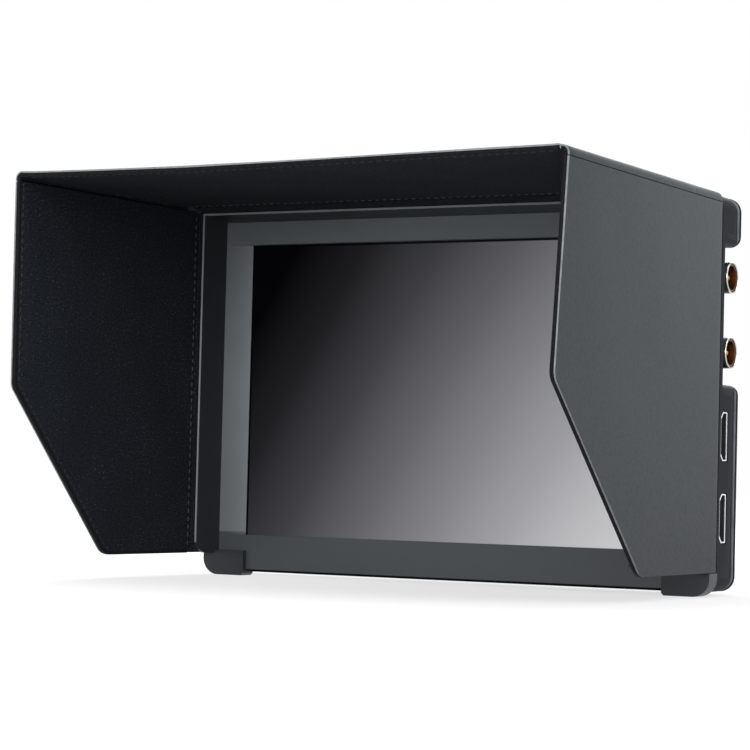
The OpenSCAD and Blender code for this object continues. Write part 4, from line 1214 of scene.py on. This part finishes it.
class MONITOR_OT_seams(Operator):
    """Lockstitched seams in front of each crease and along the taped edges"""

    bl_idname = "monitor_hood.seams"
    bl_label = "Stitched Seams"

    def execute(self, context):
        hood = looks()[0]

        def row(name, body, points, facing):
            material = crease_thread() if "crease" in name else thread()
            obj = stitches(name, points, facing, hood.pitch, hood.stitch, hood.thread_thick / 2, material)
            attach(settle(obj), body)

        for flap, side in SIDE_FLAPS:
            outline = outline_of(f"{flap}_skin", 1, 2)
            low, high = min(p[1] for p in outline), max(p[1] for p in outline)
            crease = crease_of(flap)
            x, y = side * LINING_IN, crease - SEAM_FRONT
            facing = Vector((-side, 0, 0))
            ends = [Vector((x, y, low + 2 * MM)), Vector((x, y, high - 2 * MM))]
            row(f"{flap}_crease_seam", flap, ends, facing)
            edge = open_edge(outline, crease)[:-1]
            path = [Vector((x, y, z)) for y, z in edge]
            sides = inward_sides(path, SIDE_MIDDLE + Vector((x, 0, 0)))
            row(f"{flap}_edge_seam", flap, [p + s * SEAM_IN for p, s in zip(path, sides)], facing)
        z, crease = LINING_UNDER, crease_of("top_flap")
        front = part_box("top_flap_skin")[0].y + SEAM_IN
        for name, y in (("top_flap_crease_seam", crease - SEAM_FRONT), ("top_flap_edge_seam", front)):
            points = [Vector((x, y, z)) for x in steps_between(-TOP_HALF + 1.5 * MM, TOP_HALF - 1.5 * MM, 40)]
            row(name, "top_flap", points, Vector((0, 0, -1)))
        return {"FINISHED"}


class MONITOR_OT_hood_frame(Operator):
    """The plastic frame that clips on the monitor, and the boards in the flaps"""

    bl_idname = "monitor_hood.hood_frame"
    bl_label = "Hood Frame"

    def execute(self, context):
        dress("hood_frame", hood_plastic(), looks()[0].frame_ease)
        board = grey_board()
        for flap in ("left_flap", "right_flap", "top_flap"):
            dress(f"{flap}_board", board)

        # the dark strip, painted shade for the gap behind the covering, runs up one side, over the top and
        #         down the other, a little below the covering
        step, foot = 0.42 * MM, SKIN_LOW.z
        path, inward = [], []
        for side in (-1, 1):
            turn = [math.radians(a) for a in range(0, 91, 9)]
            half = [(Vector((side * (HOOD_HALF - step), 0, foot)), Vector((-side, 0, 0)))]
            for t in turn:
                out = Vector((side * math.cos(t), 0, math.sin(t)))
                half.append((Vector((side * TOP_HALF, 0, CORNER_Z)) + out * (CORNER_R - step), -out))
            for point, way in half if side < 0 else half[::-1]:
                path.append(point)
                inward.append(way)
        inset = 0.1 * MM  # it reaches this far under the covering
        section = [
            (n, t + SKIN_HIGH.y - RIM - inset)
            for n, t in round_box(0.0, FLAP_T - step, 0.0, RIM + inset, 0.2 * MM)
        ]
        obj = swept("covering_gap_shadow", path, inward, Vector((0, 1, 0)), section, rim_rubber())
        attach(obj, "hood_frame")
        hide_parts("frame_skin")
        return {"FINISHED"}


# ---- The monitor ----


class MONITOR_OT_front(Operator):
    """The bezel, its status light and the screen"""

    bl_idname = "monitor_hood.front"
    bl_label = "Bezel and Screen"

    def execute(self, context):
        casing = looks()[1]
        dress("front_bezel", bezel_plastic(), casing.moulded_edge)
        dress("status_light", light_pipe(), 0.12 * MM)
        dress("lcd_panel", display_glass())
        return {"FINISHED"}


class MONITOR_OT_casing(Operator):
    """The middle casing, the painted rear cover and their screws"""

    bl_idname = "monitor_hood.casing"
    bl_label = "Casing"

    def execute(self, context):
        casing = looks()[1]
        dress("middle_casing", casing_plastic(), casing.moulded_edge)
        dress("rear_cover", cover_plate(), casing.moulded_edge)
        dress("casing_screws", black_screws(), 0.08 * MM)
        dress("tripod_insert", turned_brass(), 0.15 * MM)
        return {"FINISHED"}


class MONITOR_OT_coax_jacks(Operator):
    """The two coax jacks: ribbed black shells with nickel rims and lugs, bronze sleeves and gold pins"""

    bl_idname = "monitor_hood.coax_jacks"
    bl_label = "Coax Jacks"

    def execute(self, context):
        casing = looks()[1]
        black, bright = blackened_brass(), nickel()
        for node in ("coax_in_jack", "coax_out_jack"):
            low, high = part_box(node)
            centre = Vector((0, (low.y + high.y) / 2, (low.z + high.z) / 2))
            radius = (high.z - low.z) / 2
            low_in, high_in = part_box("coax_contacts")
            bore = (high_in.y - low_in.y) / 2
            out, ridge = high.x, casing.ridge

            def from_mouth(*points):
                """Points given in mm from the mouth and from the shell's own radius."""
                return [(out + a * MM, radius + r * MM) for a, r in points]

            body = [(low.x, bore), (low.x, radius - 0.2 * MM), (low.x + 0.2 * MM, radius)]
            along = out - 9.6 * MM
            while along < out - 4.4 * MM:  # the clamping thread
                flank, valley = along + ridge * 0.3, along + ridge * 0.5
                body += [(along, radius), (flank, radius), (valley, radius - 0.3 * MM)]
                along += ridge
            body += from_mouth(
                (-4.3, -0.35), (-3.9, -0.35), (-3.8, -0.05), (-0.85, -0.05),
                (-0.6, -0.2), (-0.6, -0.42), (-0.2, -0.42),
            )
            body.append((out - 0.4 * MM, bore))
            collar = from_mouth(
                (-0.6, -0.4), (-0.6, -0.12), (-0.5, 0), (-0.15, 0), (0, -0.12), (0, -0.26), (-0.15, -0.4),
            )
            parts = [
                turned(node + "_body", body, centre, (1, 0, 0), black),
                turned(node + "_rim", collar, centre, (1, 0, 0), bright),
            ]
            # the two bayonet lugs
            reach, foot, lug = (high.y - low.y) / 2, radius - 0.3 * MM, 1 * MM
            stub = [(foot, 0.0), (foot, lug), (reach - 0.2 * MM, lug), (reach, lug * 0.75), (reach, 0.0)]
            middle = centre + Vector((out - 3.2 * MM, 0, 0))
            for way in (-1, 1):
                parts.append(turned(node + "_lug", stub, middle, (0, way, 0), bright, steps=20, loop=False))
            obj = joined(node + "_shell", parts)
            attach(obj, "monitor")
            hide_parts(node)
            # the ground sleeve in the bore and the round pin in its middle
            back, mouth, tip = low_in.x, high_in.x, high_in.x - 0.9 * MM
            sleeve = [(back, bore), (mouth, bore), (mouth, bore - 0.3 * MM), (back, bore - 0.3 * MM)]
            pin = [(back, 0.0), (back, 0.9 * MM), (tip - 0.35 * MM, 0.9 * MM), (tip, 0.5 * MM), (tip, 0.0)]
            obj = joined(node + "_contacts", [
                turned(node + "_sleeve", sleeve, centre, (1, 0, 0), bronze()),
                turned(node + "_pin", pin, centre, (1, 0, 0), gold(), steps=20, loop=False),
            ])
            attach(obj, "monitor")
            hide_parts("coax_contacts")
        dress("coax_insulators", insulator())
        dress("coax_nuts", bright, 0.2 * MM)
        return {"FINISHED"}


class MONITOR_OT_video_ports(Operator):
    """The two video ports: folded shells, tongues and their rows of gold contacts"""

    bl_idname = "monitor_hood.video_ports"
    bl_label = "Video Ports"

    def execute(self, context):
        casing = looks()[1]
        steel = stamped_steel()
        for node in ("video_in_port", "video_out_port"):
            dress(node, steel, casing.small_edge * 0.7)
        dress("port_tongues", socket_plastic(), 0.1 * MM)
        low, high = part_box("port_tongues")
        parts, plate = [], gold()
        for node in ("video_in_port", "video_out_port"):
            a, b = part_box(node)
            middle = (a.z + b.z) / 2
            for k in range(19):
                face, way = (low.y, -1) if k % 2 else (high.y, 1)
                z = middle + (k - 9) * 0.55 * MM
                section = round_box(-0.16 * MM, 0.16 * MM, -0.05 * MM, 0.06 * MM, 0.04 * MM, 1)
                rings = [
                    [Vector((x, face + way * t, z + n)) for n, t in section]
                    for x in (low.x + 0.5 * MM, high.x - 0.7 * MM)
                ]
                parts.append(rings_object("contact", rings, plate))
        obj = joined("video_contacts", parts)
        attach(obj, "monitor")
        return {"FINISHED"}


class MONITOR_OT_left_jacks(Operator):
    """The power and headphone jacks on the left side"""

    bl_idname = "monitor_hood.left_jacks"
    bl_label = "Power and Headphone Jacks"

    def execute(self, context):
        casing = looks()[1]
        black, bright = socket_plastic(), nickel()
        dress("power_jack", black, casing.small_edge)
        dress("power_pin", bright, 0.1 * MM)
        dress("headphone_jack", black, casing.small_edge)
        low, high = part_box("headphone_jack")
        centre = Vector((low.x, (low.y + high.y) / 2, (low.z + high.z) / 2))
        ring = [
            (-0.06 * MM, 1.85 * MM), (-0.2 * MM, 2.0 * MM), (-0.2 * MM, 2.5 * MM), (-0.1 * MM, 2.65 * MM),
            (0.4 * MM, 2.65 * MM), (0.4 * MM, 1.85 * MM),
        ]
        obj = turned("headphone_collar", ring, centre, (1, 0, 0), bright)
        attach(obj, "monitor")
        return {"FINISHED"}


class MONITOR_OT_battery_mount(Operator):
    """The battery plate on the back with its rails, contacts and latch"""

    bl_idname = "monitor_hood.battery_mount"
    bl_label = "Battery Mount"

    def execute(self, context):
        casing = looks()[1]
        dress("battery_plate", casing_plastic(), casing.moulded_edge)
        dress("plate_screws", black_screws(), 0.08 * MM)
        dress("battery_contacts", gold(), 0.1 * MM)
        dress("battery_latch", latch_plastic(), casing.small_edge * 1.6)
        dress("latch_spring", spring_steel())
        return {"FINISHED"}


class MONITOR_OT_buttons(Operator):
    """The five push buttons on the top edge"""

    bl_idname = "monitor_hood.buttons"
    bl_label = "Push Buttons"

    def execute(self, context):
        for word in ("power", "input", "menu", "down", "up"):
            dress(f"{word}_button", button_plastic(), looks()[1].small_edge * 1.6)
        return {"FINISHED"}


class MONITOR_OT_inner_parts(Operator):
    """What the casing hides: the panel's layers, the boards and the speaker"""

    bl_idname = "monitor_hood.inner_parts"
    bl_label = "Inner Parts"

    def execute(self, context):
        board, steel = board_laminate(), galvanised_steel()
        for node, finish in (
            ("backlight_unit", diffuser_film()), ("panel_tray", steel), ("heat_spreader", rolled_aluminium()),
            ("board_standoffs", turned_brass()), ("main_board", board), ("board_chips", chip_resin()),
            ("ribbon_cable", ribbon_film()), ("speaker", paper_cone()), ("button_board", board),
            ("key_switches", socket_plastic()),
        ):
            dress(node, finish)
        return {"FINISHED"}


# The camera as it was solved: place in metres, yaw, pitch and roll in degrees, and lens in mm
CAMERA_PLACE = (0.363065, -0.717971, 0.031925)
CAMERA_TURN = (28.9028, 2.3740, 1.4309)
CAMERA_LENS = 119.95

# The soft lights: name, size, place and target in metres
SOFTBOXES = (
    ("side_softbox", 0.8, (0.8, -0.05, 0.6), (0.09, -0.02, 0.1)),
    ("front_softbox", 1.2, (0.55, -1.4, 0.2), (0.0, -0.02, 0.06)),
    ("top_softbox", 1.0, (-0.1, -0.1, 1.3), (0.0, -0.05, 0.06)),
    ("back_softbox", 1.0, (-0.5, 1.2, 0.8), (0.0, 0.0, 0.06)),
)


class MONITOR_OT_stage(Operator):
    """The white paper sweep, the soft lights and the camera"""

    bl_idname = "monitor_hood.stage"
    bl_label = "Stage and Camera"

    def execute(self, context):
        stage = looks()[2]
        scene = context.scene
        low = CAD_BOX[0][2]
        paper = backdrop_paper("Matt paper sweep")
        floor = mesh_object(
            "paper_floor", [Vector((x * 6, y * 6, low)) for x, y in ((-1, -1), (1, -1), (1, 1), (-1, 1))],
            [(0, 1, 2, 3)], paper,
        )

        # white where the camera, a reflection or glass sees it, and a plain even light elsewhere
        world = bpy.data.worlds.new("Even surround")
        world.use_nodes = True
        level = add(world, "MapRange", (seen_plainly(world), "Value"), To_Min=stage.surround, To_Max=1.0)
        back = world.node_tree.nodes["Background"]
        back.inputs["Color"].default_value = (1, 1, 1, 1)
        world.node_tree.links.new(level["Result"], back.inputs["Strength"])
        scene.world = world

        powers = stage.key, stage.front, stage.top, stage.back
        for energy, (name, size, place, target) in zip(powers, SOFTBOXES):
            light = bpy.data.lights.new(name, "AREA")
            light.shape, light.size, light.energy = "SQUARE", size, energy
            lamp = bpy.data.objects.new(name, light)
            lamp.location = place
            lamp.rotation_euler = (Vector(target) - Vector(place)).to_track_quat("-Z", "Y").to_euler()
            scene.collection.objects.link(lamp)

        # a long lens low at the object's front right, looking slightly up
        yaw, pitch, roll = (math.radians(a) for a in CAMERA_TURN)
        ahead = Vector((-math.sin(yaw) * math.cos(pitch), math.cos(yaw) * math.cos(pitch), math.sin(pitch)))
        right = Vector((math.cos(yaw), math.sin(yaw), 0))
        up = right.cross(ahead)
        tilted = right * math.cos(roll) + up * math.sin(roll)
        upright = up * math.cos(roll) - right * math.sin(roll)
        turn = Matrix((tilted, upright, -ahead)).transposed().to_4x4()
        camera = bpy.data.cameras.new("long_lens")
        camera.lens, camera.sensor_width = CAMERA_LENS, 36
        camera.clip_start, camera.clip_end = 0.01, 50
        holder = bpy.data.objects.new("long_lens", camera)
        holder.matrix_world = Matrix.Translation(CAMERA_PLACE) @ turn
        scene.collection.objects.link(holder)
        scene.camera = holder
        scene.view_settings.view_transform = "Standard"
        return {"FINISHED"}


STEPS = (
    MONITOR_OT_skins, MONITOR_OT_linings, MONITOR_OT_edging, MONITOR_OT_seams, MONITOR_OT_hood_frame,
    MONITOR_OT_front, MONITOR_OT_casing, MONITOR_OT_coax_jacks, MONITOR_OT_video_ports, MONITOR_OT_left_jacks,
    MONITOR_OT_battery_mount, MONITOR_OT_buttons, MONITOR_OT_inner_parts, MONITOR_OT_stage,
)


class MONITOR_PT_panel(Panel):
    """The monitor's sizes, colours and pieces"""

    bl_idname = "MONITOR_PT_panel"
    bl_label = "Field Monitor"
    bl_space_type = "VIEW_3D"
    bl_region_type = "UI"
    bl_category = "Field Monitor"

    def draw(self, context):
        for group in looks():
            box = self.layout.box()
            for key in group.bl_rna.properties.keys():
                if key not in ("rna_type", "name"):
                    box.prop(group, key)
        for step in STEPS:
            self.layout.operator(step.bl_idname)


CLASSES = (HoodLooks, CasingLooks, StageLooks, *STEPS, MONITOR_PT_panel)


def register():
    for one in CLASSES:
        bpy.utils.register_class(one)
    bpy.types.Scene.monitor_hood_looks = PointerProperty(type=HoodLooks)
    bpy.types.Scene.monitor_casing_looks = PointerProperty(type=CasingLooks)
    bpy.types.Scene.monitor_stage_looks = PointerProperty(type=StageLooks)


def unregister():
    del bpy.types.Scene.monitor_stage_looks
    del bpy.types.Scene.monitor_casing_looks
    del bpy.types.Scene.monitor_hood_looks
    for one in reversed(CLASSES):
        bpy.utils.unregister_class(one)


def main():
    register()
    for step in STEPS:
        getattr(bpy.ops.monitor_hood, step.bl_idname.split(".")[1])()


if __name__ == "__main__":
    main()
